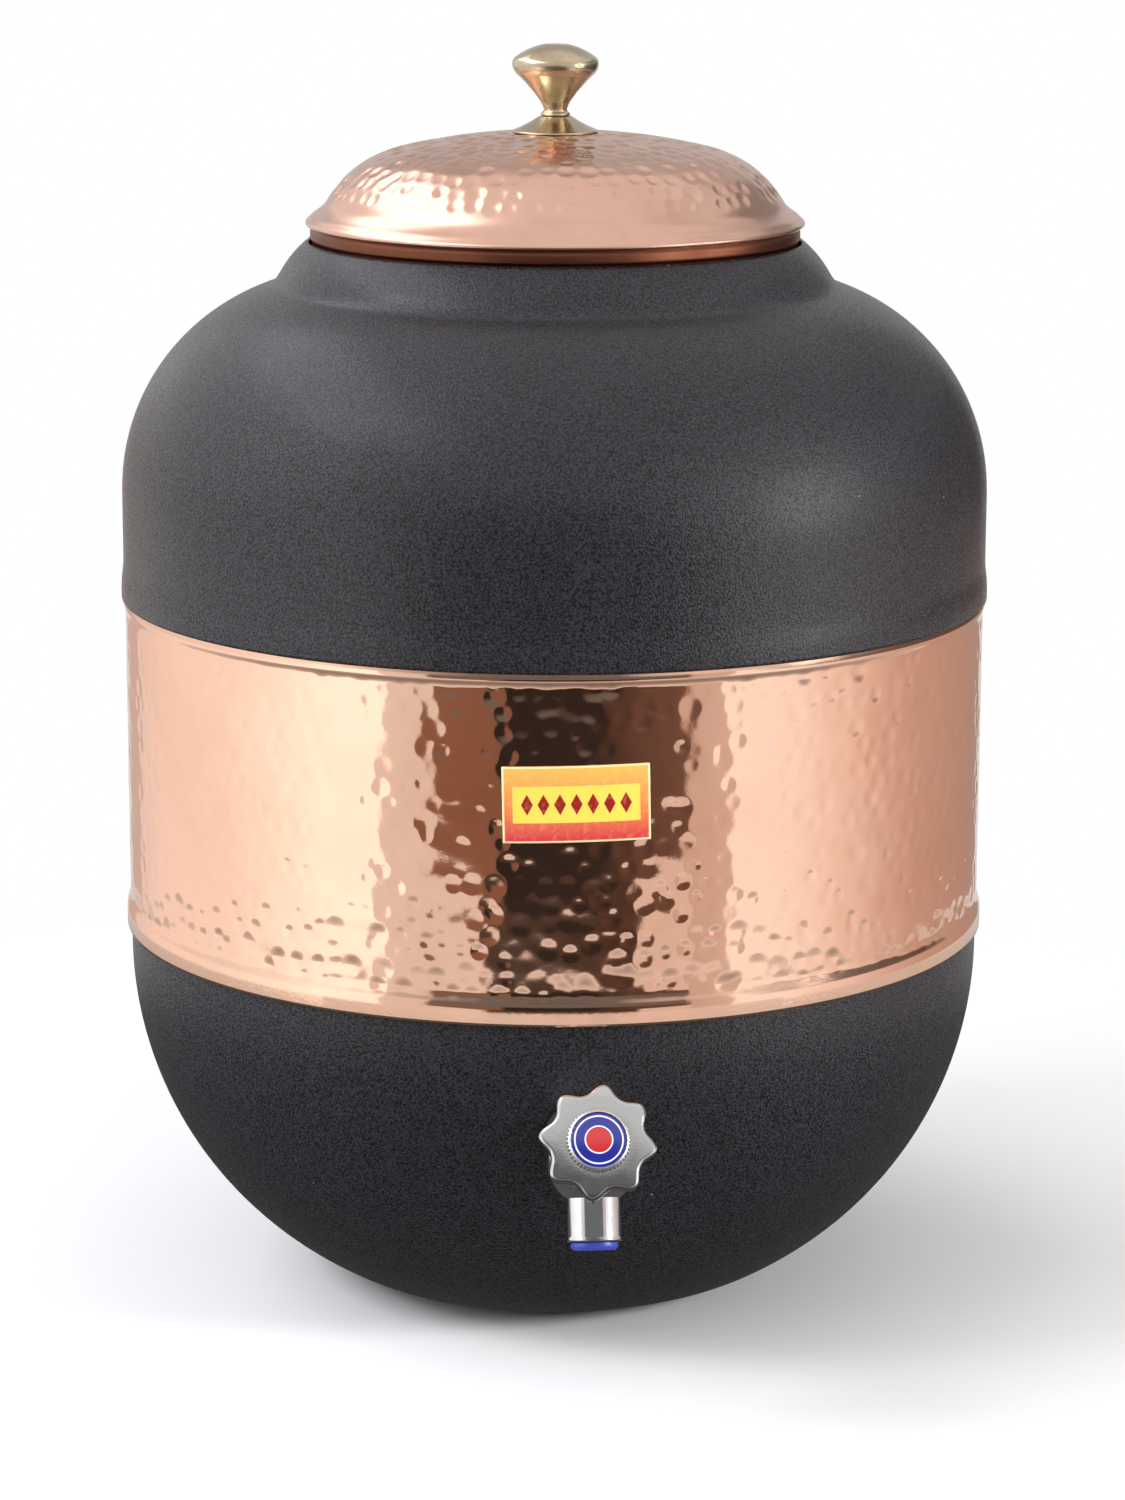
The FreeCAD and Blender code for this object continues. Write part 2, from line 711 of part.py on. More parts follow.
def make_bonnet():
    """Bonnet screwed into the body, its packing ring and the gland nut that squeezes it."""
    blank = fused("bonnet_blank", [
        cylinder("bonnet_plug", "barrel", "cavity_r - fit", "plug_bottom", "collar_top + fit"),
        hexagon("bonnet_hex", "barrel", "bonnet_hex_r", "collar_top + fit", "hex_top"),
        cylinder("bonnet_boss", "barrel", "boss_r", "hex_top", "boss_top"),
    ])
    bore = turned("bonnet_bore", "barrel", [
        ("0", "plug_bottom - overrun"),
        ("spindle_thread_r + fit", "plug_bottom - overrun"),
        ("spindle_thread_r + fit", "thread_top"),
        ("stem_r + fit", "thread_top"),
        ("stem_r + fit", "packing_floor"),
        ("packing_r", "packing_floor"),
        ("packing_r", "boss_top + overrun"),
        ("0", "boss_top + overrun"),
    ])
    bonnet = cut("tap_bonnet", blank, bore)
    packing = turned("gland_packing", "barrel", [
        ("stem_r + fit", "packing_floor + fit"),
        ("packing_r - fit", "packing_floor + fit"),
        ("packing_r - fit", "packing_top"),
        ("stem_r + fit", "packing_top"),
    ])
    gland = turned("gland_nut", "barrel", [
        ("boss_r + fit", "hex_top + fit"),
        ("gland_r", "hex_top + fit"),
        ("gland_r", "gland_top"),
        ("stem_r + fit", "gland_top"),
        ("stem_r + fit", "packing_top + fit"),
        ("packing_r - fit", "packing_top + fit"),
        ("packing_r - fit", "boss_top + fit"),
        ("boss_r + fit", "boss_top + fit"),
    ])
    return [bonnet, packing, gland]


def make_valve():
    """Jumper with its rubber washer and nut, which slide without turning."""
    jumper = turned("valve_jumper", "barrel", [
        ("0", "jumper_nut_top - jumper_nut_h - fit"),
        ("jumper_stud_r", "jumper_nut_top - jumper_nut_h - fit"),
        ("jumper_stud_r", "jumper_bottom"),
        ("jumper_r", "jumper_bottom"),
        ("jumper_r", "jumper_top"),
        ("jumper_pin_r", "jumper_top"),
        ("jumper_pin_r", "jumper_top + jumper_pin_h"),
        ("0", "jumper_top + jumper_pin_h"),
    ])
    washer = turned("valve_washer", "barrel", [
        ("jumper_stud_r + fit", "valve_bottom"),
        ("valve_r", "valve_bottom"),
        ("valve_r", "jumper_bottom - fit"),
        ("jumper_stud_r + fit", "jumper_bottom - fit"),
    ])
    blank = hexagon("jumper_nut_blank", "barrel", "jumper_nut_r", "jumper_nut_top - jumper_nut_h",
                    "jumper_nut_top")
    hole = cylinder("jumper_nut_hole", "barrel", "jumper_stud_r + fit",
                    "jumper_nut_top - 2 * jumper_nut_h", "jumper_bottom")
    return [jumper, washer, cut("jumper_nut", blank, hole)]


def square_bar(name, side, start, end):
    """Make a square bar centred on the barrel's axis."""
    piece = doc.addObject("Part::Box", name)
    for edge in ("Length", "Width"):
        piece.setExpression(edge, bound(side))
    piece.setExpression("Height", bound("(%s) - (%s)" % (end, start)))
    place(piece, "barrel", start)
    y_text, z_text, turn_text = AXES["barrel"]
    piece.setExpression(".Placement.Base.x", bound("-(%s) / 2" % side))
    piece.setExpression(".Placement.Base.y", bound(
        "%s - (%s) * sin(%s) - (%s) / 2 * cos(%s)" % (y_text, start, turn_text, side, turn_text)))
    piece.setExpression(".Placement.Base.z", bound(
        "%s + (%s) * cos(%s) - (%s) / 2 * sin(%s)" % (z_text, start, turn_text, side, turn_text)))
    return piece


def make_spindle():
    """Spindle: threaded foot, plain stem through the packing, square end for the wheel."""
    rod = turned("spindle_rod", "barrel", [
        ("0", "spindle_bottom"),
        ("spindle_thread_r", "spindle_bottom"),
        ("spindle_thread_r", "spindle_shoulder"),
        ("stem_r", "spindle_shoulder"),
        ("stem_r", "stem_top"),
        ("0", "stem_top"),
    ])
    square = square_bar("spindle_square", "square", "stem_top - overrun", "square_top")
    blank = fused("spindle_blank", [rod, square])
    holes = fused("spindle_holes", [
        cylinder("pin_hole", "barrel", "jumper_pin_r + fit", "spindle_bottom - fit",
                 "jumper_top + jumper_pin_h + fit"),
        cylinder("screw_hole", "barrel", "wheel_screw_r + fit",
                 "well_floor - wheel_screw_h - fit", "square_top + overrun"),
    ])
    return cut("tap_spindle", blank, holes)


def edge_ends_match(edge, radius, tolerance=0.02):
    """Tell whether an edge runs along the wheel's axis at a given radius."""
    ends = [vertex.Point for vertex in edge.Vertexes]
    if len(ends) != 2 or not isinstance(edge.Curve, Part.Line):
        return False
    upright = abs(edge.tangentAt(edge.FirstParameter).z) > 0.99
    return upright and all(abs(math.hypot(end.x, end.y) - radius) < tolerance for end in ends)


def make_handwheel():
    """Star handwheel: a disc with scallops round it, rounded tips and a well for its screw."""
    body = doc.addObject("PartDesign::Body", "wheel_star")
    disc_sketch = new_sketch(body, "wheel_disc_outline", "XY_Plane")
    disc_sketch.addGeometry(
        Part.Circle(FreeCAD.Vector(0, 0, 0), FreeCAD.Vector(0, 0, 1), value("wheel_r")), False)
    disc_sketch.addConstraint(Sketcher.Constraint("Coincident", 0, 3, -1, 1))
    hold(disc_sketch, "Radius", 0, "wheel_r")
    disc = body.newObject("PartDesign::Pad", "wheel_disc")
    disc.Profile = disc_sketch
    disc.setExpression("Length", bound("wheel_face - wheel_back"))
    doc.recompute()

    scallop_sketch = new_sketch(body, "scallop_outline", "XY_Plane")
    scallop_sketch.addGeometry(
        Part.Circle(FreeCAD.Vector(value("scallop_x"), value("scallop_y"), 0),
                    FreeCAD.Vector(0, 0, 1), value("scallop_r")), False)
    hold_point(scallop_sketch, 0, 3, "scallop_x", "scallop_y")
    hold(scallop_sketch, "Radius", 0, "scallop_r")
    scallop = body.newObject("PartDesign::Pocket", "scallop")
    scallop.Profile = scallop_sketch
    scallop.Type = "ThroughAll"
    scallop.Midplane = True
    doc.recompute()

    lobes = body.newObject("PartDesign::PolarPattern", "scallops")
    lobes.Originals = [scallop]
    lobes.Axis = (disc_sketch, ["N_Axis"])
    lobes.Angle = 360
    lobes.setExpression("Occurrences", bound("wheel_lobes"))
    body.Tip = lobes
    doc.recompute()

    rounded = body.newObject("PartDesign::Fillet", "rounded_tips")
    radius = value("wheel_r")
    names = ["Edge%d" % index for index, edge in enumerate(lobes.Shape.Edges, start=1)
             if edge_ends_match(edge, radius)]
    rounded.Base = (lobes, names)
    rounded.setExpression("Radius", bound("tip_round"))
    body.Tip = rounded
    doc.recompute()

    softened = body.newObject("PartDesign::Fillet", "rounded_face")
    softened.Base = (rounded, [name for name, face in (
        ("Face%d" % index, face) for index, face in enumerate(rounded.Shape.Faces, start=1))
        if isinstance(face.Surface, Part.Plane)])
    softened.setExpression("Radius", bound("face_round"))
    body.Tip = softened
    doc.recompute()

    place(body, "barrel", "wheel_back")
    return body


def make_wheel_parts():
    """Handwheel, the screw that holds it, and the cap with its coloured disc."""
    star = make_handwheel()
    openings = fused("wheel_openings", [
        cylinder("wheel_well", "barrel", "well_r", "well_floor", "wheel_face + overrun"),
        square_bar("wheel_square", "square + 2 * fit", "wheel_back - overrun", "wheel_face"),
    ])
    wheel = cut("handwheel", star, openings)
    screw = turned("handwheel_screw", "barrel", [
        ("0", "well_floor - wheel_screw_h"),
        ("wheel_screw_r", "well_floor - wheel_screw_h"),
        ("wheel_screw_r", "well_floor + fit"),
        ("wheel_head_r", "well_floor + fit"),
        ("wheel_head_r", "well_floor + wheel_head_h"),
        ("0", "well_floor + wheel_head_h"),
    ])
    ring = turned("index_ring", "barrel", [
        ("0", "wheel_face + fit"),
        ("well_r - fit - cap_plug_t", "wheel_face + fit"),
        ("well_r - fit - cap_plug_t", "wheel_face - cap_plug_h"),
        ("well_r - fit", "wheel_face - cap_plug_h"),
        ("well_r - fit", "wheel_face + fit"),
        ("cap_r", "wheel_face + fit"),
        ("cap_r", "cap_top"),
        ("cap_r - cap_rim", "cap_top"),
        ("cap_r - cap_rim", "plate_top"),
        ("0", "plate_top"),
    ])
    disc = turned("index_disc", "barrel", [
        ("0", "plate_top + fit"),
        ("disc_r", "plate_top + fit"),
        ("disc_r", "plate_top + fit + disc_t", "(disc_r ^ 2 + disc_crown ^ 2) / (2 * disc_crown)"),
        ("0", "plate_top + fit + disc_t + disc_crown"),
    ])
    return [wheel, screw, ring, disc]


def make_pot():
    """Build every piece and return those that are handed over, in order."""
    base_shell, outside, inside = make_bowl()
    pieces = [
        make_upper_shell(),
        make_band(),
        base_shell,
        make_seam("upper_seam_solder", "band_r", "dome_r", "band_top"),
        make_seam("lower_seam_solder", "base_r", "band_r", "base_top"),
        make_label(),
        make_lid_cover(),
        make_skirt(),
    ]
    pieces += make_knob()
    pieces += make_shank_parts(outside, inside)
    pieces += [make_tap_body(), make_nozzle()]
    pieces += make_bonnet()
    pieces += make_valve()
    pieces.append(make_spindle())
    pieces += make_wheel_parts()
    return pieces


def check_and_write(pieces):
    """Stop on any failed object or bad shape, then write one STEP file for each piece."""
    doc.recompute()
    failed = [item.Label for item in doc.Objects if {"Invalid", "Error"} & set(item.State)]
    failed += [piece.Label for piece in pieces if piece.Shape.isNull() or not piece.Shape.isValid()]
    failed += [piece.Label for piece in pieces if len(piece.Shape.Solids) != 1]
    if failed:
        raise RuntimeError("these objects failed: " + ", ".join(failed))
    os.makedirs("parts", exist_ok=True)
    for piece in pieces:
        piece.Shape.exportStep("parts/%s.step" % piece.Label)
        print("%-20s %9.1f mm3" % (piece.Label, piece.Shape.Volume))


check_and_write(make_pot())
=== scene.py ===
"""Copper water pot with a lid and a screw-down tap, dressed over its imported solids.

Sizes are in millimetres and degrees, as in the part's source. Meshes are written in metres.
"""
import logging
import math
from dataclasses import dataclass
from enum import Enum
from functools import cache
from typing import Any, Optional, Protocol, Sequence

import bmesh
import bpy
import numpy as np
from mathutils import Matrix, Vector


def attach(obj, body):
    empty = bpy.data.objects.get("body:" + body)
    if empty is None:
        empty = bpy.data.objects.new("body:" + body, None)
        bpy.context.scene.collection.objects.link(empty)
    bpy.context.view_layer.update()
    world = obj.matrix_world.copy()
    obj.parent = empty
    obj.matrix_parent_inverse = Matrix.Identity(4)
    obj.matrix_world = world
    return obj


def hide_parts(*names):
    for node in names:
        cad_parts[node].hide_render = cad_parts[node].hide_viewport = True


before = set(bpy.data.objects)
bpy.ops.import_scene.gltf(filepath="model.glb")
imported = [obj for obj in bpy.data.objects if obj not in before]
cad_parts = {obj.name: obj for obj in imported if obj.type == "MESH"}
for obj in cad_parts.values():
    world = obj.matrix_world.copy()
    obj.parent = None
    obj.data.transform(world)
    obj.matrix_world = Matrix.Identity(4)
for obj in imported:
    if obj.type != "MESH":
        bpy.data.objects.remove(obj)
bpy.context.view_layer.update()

MM = 0.001
FULL_TURN = 2 * math.pi
WELD_REACH = 1e-7
log = logging.getLogger("water_pot")

Point = tuple[float, float]
Colour = tuple[float, float, float]
Piece = bpy.types.Object
Material = bpy.types.Material
Socket = bpy.types.NodeSocket

WHITE: Colour = (1.0, 1.0, 1.0)


class Rider(Enum):
    """The bodies that the pieces built here ride on."""

    POT = "pot"
    LID = "lid"
    HANDLE = "handle"


class Axle(Enum):
    """The axes that turned pieces are built round."""

    POT = "pot"
    SHANK = "shank"
    BARREL = "barrel"
    SPOUT = "spout"


# ---- Outlines ----


def arc(start: Point, end: Point, radius: float, left: bool = True, step: float = 0.4) -> list[Point]:
    """Return points along the shorter arc between two points, without its first point.

    Args:
        start: Where the arc begins.
        end: Where it ends.
        radius: Its radius.
        left: Whether it turns left on its way.
        step: The greatest distance between neighbouring points.

    Returns:
        The points after the start, up to and with the end.
    """
    ax, ay = start
    bx, by = end
    length = math.hypot(bx - ax, by - ay)
    rise = math.sqrt(max(radius * radius - length * length / 4, 0.0))
    side = 1.0 if left else -1.0
    cx = (ax + bx) / 2 - side * (by - ay) / length * rise
    cy = (ay + by) / 2 + side * (bx - ax) / length * rise
    first = math.atan2(ay - cy, ax - cx)
    turn = (math.atan2(by - cy, bx - cx) - first) % FULL_TURN
    if not left:
        turn -= FULL_TURN
    count = max(2, math.ceil(abs(turn) * radius / step))
    angles = [first + turn * k / count for k in range(1, count + 1)]
    return [(cx + radius * math.cos(angle), cy + radius * math.sin(angle)) for angle in angles]


def distances(line: np.ndarray) -> np.ndarray:
    """Return how far along a line each of its points lies."""
    return np.concatenate([[0.0], np.cumsum(np.hypot(*np.diff(line, axis=0).T))])


def even(points: Sequence[Point], step: float) -> np.ndarray:
    """Space a line's points evenly.

    Args:
        points: The line's corners.
        step: The wanted distance between points.

    Returns:
        The points of the same line, one row each.
    """
    line = np.array(points, dtype=float)
    run = distances(line)
    places = np.linspace(0.0, run[-1], max(2, round(run[-1] / step)) + 1)
    return np.stack([np.interp(places, run, line[:, 0]), np.interp(places, run, line[:, 1])], axis=1)


def soften(line: np.ndarray, width: float, step: float) -> np.ndarray:
    """Round a line's corners by a running mean that leaves its ends in place.

    Args:
        line: Evenly spaced points.
        width: The length over which corners are rounded.
        step: The distance between the points.

    Returns:
        As many points, with soft corners.
    """
    reach = max(1, round(width / step / 2))
    kernel = np.ones(2 * reach + 1) / (2 * reach + 1)
    soft = line
    for _ in range(2):
        before, after = 2 * soft[:1] - soft[reach:0:-1], 2 * soft[-1:] - soft[-2:-reach - 2:-1]
        padded = np.concatenate([before, soft, after])
        soft = np.stack([np.convolve(padded[:, k], kernel, "valid") for k in (0, 1)], axis=1)
        soft[0], soft[-1] = line[0], line[-1]
    return soft


def soft_loop(corners: Sequence[Point], width: float, step: float) -> np.ndarray:
    """Return a closed outline with soft corners.

    Args:
        corners: The outline's corners, of which the last is the first again.
        width: The length over which corners are rounded.
        step: The distance between the points.

    Returns:
        The outline's points, each once.
    """
    return soften(even(corners, step)[:-1], width, step)


def normals(line: np.ndarray) -> np.ndarray:
    """Work out a line's unit normals.

    Args:
        line: The line's points, one row each.

    Returns:
        The normal at each point, which points to the right of the line's way.
    """
    along = np.gradient(line, axis=0)
    along /= np.linalg.norm(along, axis=1, keepdims=True)
    return np.stack([along[:, 1], -along[:, 0]], axis=1)


def sheet_loop(outer: np.ndarray, thickness: float, inner_every: int = 1) -> np.ndarray:
    """Close a sheet's outline behind its outer line.

    Args:
        outer: The outer line, whose normals point outwards.
        thickness: The sheet's thickness.
        inner_every: How many outer points each inner point stands for.

    Returns:
        The closed loop's points, with the outer line first.
    """
    inner = outer - thickness * normals(outer)
    keep = np.arange(0, len(inner), inner_every)
    if keep[-1] != len(inner) - 1:
        keep = np.append(keep, len(inner) - 1)
    return np.concatenate([outer, inner[keep][::-1]])


# ---- Meshes ----


def angles_of(count: int) -> np.ndarray:
    """Return evenly spaced angles round one full turn."""
    return np.arange(count) * 2 * math.pi / count


def circle(count: int) -> np.ndarray:
    """Return evenly spaced points on a circle of radius 1, one row each."""
    angles = angles_of(count)
    return np.stack([np.cos(angles), np.sin(angles)], axis=1)


def axle_matrix(axle: Axle) -> Matrix:
    """Work out where an axle lies.

    Args:
        axle: The axle.

    Returns:
        The matrix, in millimetres, that takes the axle's own +Z to its place on the pot.
    """
    tap = Tap()
    places = {
        Axle.POT: (0.0, 0.0, 0.0),
        Axle.SHANK: (-tap.wall_r, tap.wall_z, 90.0 + tap.wall_lean),
        Axle.BARREL: (tap.globe_y, tap.globe_z, 90.0 - tap.rise),
        Axle.SPOUT: (tap.globe_y, tap.globe_z, 180.0 - tap.spout_lean),
    }
    y, z, turn = places[axle]
    return Matrix.Translation((0.0, y, z)) @ Matrix.Rotation(math.radians(turn), 4, "X")


def along_axle(axle: Axle, places: np.ndarray) -> np.ndarray:
    """Return places on the pot as an axle's own frame has them, one row each."""
    away = np.array(axle_matrix(axle).inverted())
    return places @ away[:3, :3].T + away[:3, 3]


def add_object(name: str, points: np.ndarray, faces: Sequence[Sequence[int]],
               axle: Axle = Axle.POT) -> Piece:
    """Make a smooth object from points in an axle's frame.

    Args:
        name: The object's name.
        points: One row for each point, in millimetres.
        faces: The corners of each face.
        axle: The frame that the points are in.

    Returns:
        The new object, with its mesh in metres in the pot's frame.
    """
    turn = np.array(axle_matrix(axle))
    placed = (points @ turn[:3, :3].T + turn[:3, 3]) * MM
    mesh = bpy.data.meshes.new(name)
    mesh.from_pydata(placed.tolist(), [], faces)
    mesh.validate()
    mesh.polygons.foreach_set("use_smooth", [True] * len(mesh.polygons))
    mesh.update()
    return link_object(name, mesh)


def link_object(name: str, data: bpy.types.ID) -> Piece:
    """Put data into the scene as a new object.

    Args:
        name: The object's name.
        data: A mesh, a lamp or a camera.

    Returns:
        The new object.
    """
    made = bpy.data.objects.new(name, data)
    bpy.context.scene.collection.objects.link(made)
    return made


def ring_faces(rows: int, sides: int, closed: bool) -> list[list[int]]:
    """Return the quads between successive rings of points.

    Args:
        rows: How many rings there are.
        sides: How many points each ring has.
        closed: Whether the last ring joins the first.

    Returns:
        Faces whose normals point outwards when the outline runs up an outer wall.
    """
    low = np.arange(rows if closed else rows - 1)[:, None] * sides
    high = (low + sides) % (rows * sides)
    side = np.arange(sides)
    after = (side + 1) % sides
    return np.stack([low + side, low + after, high + after, high + side], axis=-1).reshape(-1, 4).tolist()


def turn_piece(name: str, loop: np.ndarray, sides: int, axle: Axle = Axle.POT, closed: bool = True,
               relief: Optional[np.ndarray] = None) -> Piece:
    """Turn an outline once round an axle.

    Args:
        name: The object's name.
        loop: The outline, in radius and height.
        sides: How many steps make the full turn.
        axle: The axle that it turns round.
        closed: Whether the outline's end joins its start. An open one ends on the axle.
        relief: How far each point stands out along its normal, one row for each outline point.

    Returns:
        The turned object.
    """
    angles = angles_of(sides)
    radius = np.repeat(loop[:, :1], sides, axis=1)
    height = np.repeat(loop[:, 1:], sides, axis=1)
    if relief is not None:
        facing = normals(loop)
        radius = radius + relief * facing[:, :1]
        height = height + relief * facing[:, 1:]
    points = np.stack([radius * np.cos(angles), radius * np.sin(angles), height], axis=2).reshape(-1, 3)
    piece = add_object(name, points, ring_faces(len(loop), sides, closed), axle)
    if not closed:
        weld_poles(piece)
    return piece


def stack_rings(name: str, rings: Sequence[tuple[np.ndarray, Any]], axle: Axle) -> Piece:
    """Make a closed object from rings of points.

    Args:
        name: The object's name.
        rings: Each ring's plan, with one height for it or one for each of its points.
        axle: The frame that the rings are in.

    Returns:
        The new object.
    """
    count = len(rings[0][0])
    points = np.concatenate([np.column_stack([plan, np.broadcast_to(height, count)])
                             for plan, height in rings])
    return add_object(name, points, ring_faces(len(rings), count, True), axle)


def weld_poles(piece: Piece) -> None:
    """Merge the points that lie on each other, as at a turned piece's poles.

    Args:
        piece: The object, whose mesh is changed.
    """
    work = bmesh.new()
    work.from_mesh(piece.data)
    bmesh.ops.remove_doubles(work, verts=work.verts, dist=WELD_REACH)
    work.to_mesh(piece.data)
    work.free()


def join(name: str, parts: Sequence[Piece]) -> Piece:
    """Join several meshes into one object.

    Args:
        name: The joined object's name.
        parts: The objects, which are used up.

    Returns:
        The joined object.
    """
    work = bmesh.new()
    for part in parts:
        work.from_mesh(part.data)
        bpy.data.objects.remove(part)
    mesh = bpy.data.meshes.new(name)
    work.to_mesh(mesh)
    work.free()
    return link_object(name, mesh)


@dataclass(frozen=True)
class Hammering:
    """Rows of small round dents over a surface with a slow wave in it.

    Attributes:
        pitch: The distance between dents in a row.
        row_pitch: The distance between rows.
        radius: A dent's mean radius.
        depth: A dent's mean depth.
        wave: The height of the slow wave.
        wave_length: The slow wave's usual length.
        stray: How far a dent strays from its place.
        seed: The seed of the strays.
        filled: The share of places that hold a dent.
        swells: How many waves in many directions make up the slow wave.
    """

    pitch: float
    row_pitch: float
    radius: float
    depth: float
    wave: float
    wave_length: float
    stray: float
    seed: int
    filled: float = 0.86
    swells: int = 14

    def relief(self, line: np.ndarray, sides: int, low: float, high: float, fade: float) -> np.ndarray:
        """Work out how far a turned surface stands out.

        Args:
            line: The outline, in radius and height.
            sides: How many steps make the full turn.
            low: How far along the outline the hammering begins.
            high: How far along the outline it ends.
            fade: The length over which it fades at both ends.

        Returns:
            One row for each outline point, in millimetres, negative in a dent.
        """
        chance = np.random.default_rng(self.seed)
        run, radii, angles = distances(line), line[:, 0], angles_of(sides)
        relief = self.waves(chance, run, radii, angles)
        row = low + fade
        while row < high - fade / 2:
            count = max(3, round(FULL_TURN * float(np.interp(row, run, radii)) / self.pitch))
            phase = chance.uniform(0, FULL_TURN)
            for place in range(count):
                if chance.random() < self.filled:
                    self.dent(relief, chance, run, radii, angles, row, phase + place * 2 * math.pi / count)
            row += self.row_pitch * chance.uniform(0.85, 1.15)
        mask = np.clip((run - low) / fade, 0, 1) * np.clip((high - run) / fade, 0, 1)
        return relief * (mask * mask * (3 - 2 * mask))[:, None]

    def waves(self, chance: np.random.Generator, run: np.ndarray, radii: np.ndarray,
              angles: np.ndarray) -> np.ndarray:
        """Work out the slow wave.

        Args:
            chance: The source of the random draws.
            run: How far along the outline each of its points lies.
            radii: The radius at each point of the outline.
            angles: The angle of each step of the turn.

        Returns:
            Its height, with one row for each outline point.
        """
        total = np.zeros((len(run), len(angles)))
        widest = float(radii.max())
        for _ in range(self.swells):
            heading = chance.uniform(0, math.pi)
            length = self.wave_length * chance.uniform(0.6, 1.7)
            around = round(FULL_TURN * widest / length * math.cos(heading))
            upward = FULL_TURN / length * math.sin(heading)
            total += np.sin(around * angles[None, :] + upward * run[:, None] + chance.uniform(0, FULL_TURN))
        return self.wave * total / self.swells ** 0.5 * (radii / widest)[:, None]

    def dent(self, relief: np.ndarray, chance: np.random.Generator, run: np.ndarray, radii: np.ndarray,
             angles: np.ndarray, place: float, angle: float) -> None:
        """Press one dent into the relief.

        Args:
            relief: The relief, which is changed.
            chance: The source of the random draws.
            run: How far along the outline each of its points lies.
            radii: The radius at each point of the outline.
            angles: The angle of each step of the turn.
            place: How far along the outline the dent's place is.
            angle: Its place round the turn.
        """
        place += chance.normal(0, self.stray)
        radius_here = float(np.interp(place, run, radii))
        angle += chance.normal(0, self.stray) / max(radius_here, 1.0)
        size = self.radius * chance.uniform(0.75, 1.3)
        depth = self.depth * chance.uniform(0.3, 1.5)
        rows = np.nonzero(np.abs(run - place) < size)[0]
        step = angles[1] - angles[0]
        reach = min(int(size / max(radius_here, 0.5) / step) + 1, len(angles) // 2 - 1)
        middle = round(angle / step)
        columns = np.arange(middle - reach, middle + reach + 1)
        across = (columns * step - angle) * radius_here
        along = run[rows] - place
        far = np.clip((along[:, None] ** 2 + across[None, :] ** 2) / size ** 2, 0, 1)
        relief[np.ix_(rows, columns % len(angles))] -= depth * (1 - far) ** 1.5


# ---- Materials ----


class Shader:
    """The node tree of a material or of the world, under construction."""

    def __init__(self, owner: bpy.types.ID) -> None:
        """Start an empty node tree.

        Args:
            owner: The new material or world.
        """
        self.owner = owner
        owner.use_nodes = True
        self.tree = owner.node_tree
        self.tree.nodes.clear()
        self.coordinates = self.node("ShaderNodeTexCoord").outputs
        self.place = self.coordinates["Object"]

    def node(self, kind: str, inputs: Optional[dict[Any, Any]] = None, **settings: Any) -> bpy.types.Node:
        """Add a node.

        Args:
            kind: The node's type.
            inputs: A value, or another node's output, for each input by its name or number.
            settings: The node's own settings.

        Returns:
            The new node.
        """
        made = self.tree.nodes.new(kind)
        for key, setting in settings.items():
            setattr(made, key, setting)
        for key, given in (inputs or {}).items():
            socket = made.inputs[key]
            if isinstance(given, Socket):
                self.tree.links.new(given, socket)
            else:
                socket.default_value = (*given, 1.0) if socket.type == "RGBA" else given
        return made

    def noise(self, scale: float, detail: float = 3.0, roughness: float = 0.5,
              vector: Optional[Socket] = None) -> Socket:
        """Return the value of a noise texture over the object."""
        return self.node("ShaderNodeTexNoise", {"Vector": vector or self.place, "Scale": scale,
                                                "Detail": detail, "Roughness": roughness}).outputs["Fac"]

    def specks(self, scale: float, reach: float, end: float, shown: Socket) -> Socket:
        """Return where small round specks show.

        Args:
            scale: How many cells with a speck there are in a metre.
            reach: A speck's full radius, as a share of its cell.
            end: The radius where it has faded.
            shown: How much of the specks shows at each place.

        Returns:
            Their strength.
        """
        cells = self.node("ShaderNodeTexVoronoi", {"Vector": self.place, "Scale": scale})
        return self.math("MULTIPLY", self.span(cells.outputs["Distance"], reach, end, 1.0, 0.0), shown)

    def span(self, factor: Any, low: float, high: float, new_low: Any, new_high: Any) -> Socket:
        """Map a value from one range to another, clamped."""
        return self.node("ShaderNodeMapRange", {"Value": factor, "From Min": low, "From Max": high,
                                                "To Min": new_low, "To Max": new_high}).outputs["Result"]

    def math(self, operation: str, first: Any, second: Any = 0.0) -> Socket:
        """Return the result of a sum on two values."""
        return self.node("ShaderNodeMath", {0: first, 1: second}, operation=operation).outputs["Value"]

    def off(self, first: Any, second: Any) -> Socket:
        """Return how far two values lie apart."""
        return self.math("ABSOLUTE", self.math("SUBTRACT", first, second))

    def blend(self, factor: Any, first: Any, second: Any) -> Socket:
        """Return a mix of two colours."""
        return self.node("ShaderNodeMix", {0: factor, 6: first, 7: second}, data_type="RGBA").outputs[2]

    def bump(self, height: Socket, strength: float, distance_mm: float,
             below: Optional[Socket] = None) -> Socket:
        """Return a normal that is tilted by a height.

        Args:
            height: The height, from 0 to 1.
            strength: How much of it shows.
            distance_mm: The height's full reach.
            below: A normal that it adds to.

        Returns:
            The bump's normal output.
        """
        inputs = {"Height": height, "Strength": strength, "Distance": distance_mm * MM}
        if below is not None:
            inputs["Normal"] = below
        return self.node("ShaderNodeBump", inputs).outputs["Normal"]

    def surface(self, **inputs: Any) -> Material:
        """End the tree in a Principled shader, whose inputs are named with underscores for spaces."""
        named = {key.replace("_", " "): given for key, given in inputs.items()}
        return self.output(self.node("ShaderNodeBsdfPrincipled", named))

    def output(self, shader: bpy.types.Node) -> Material:
        """Join a shader to the material's output and return the material."""
        self.node("ShaderNodeOutputMaterial", {"Surface": shader.outputs[0]})
        return self.owner


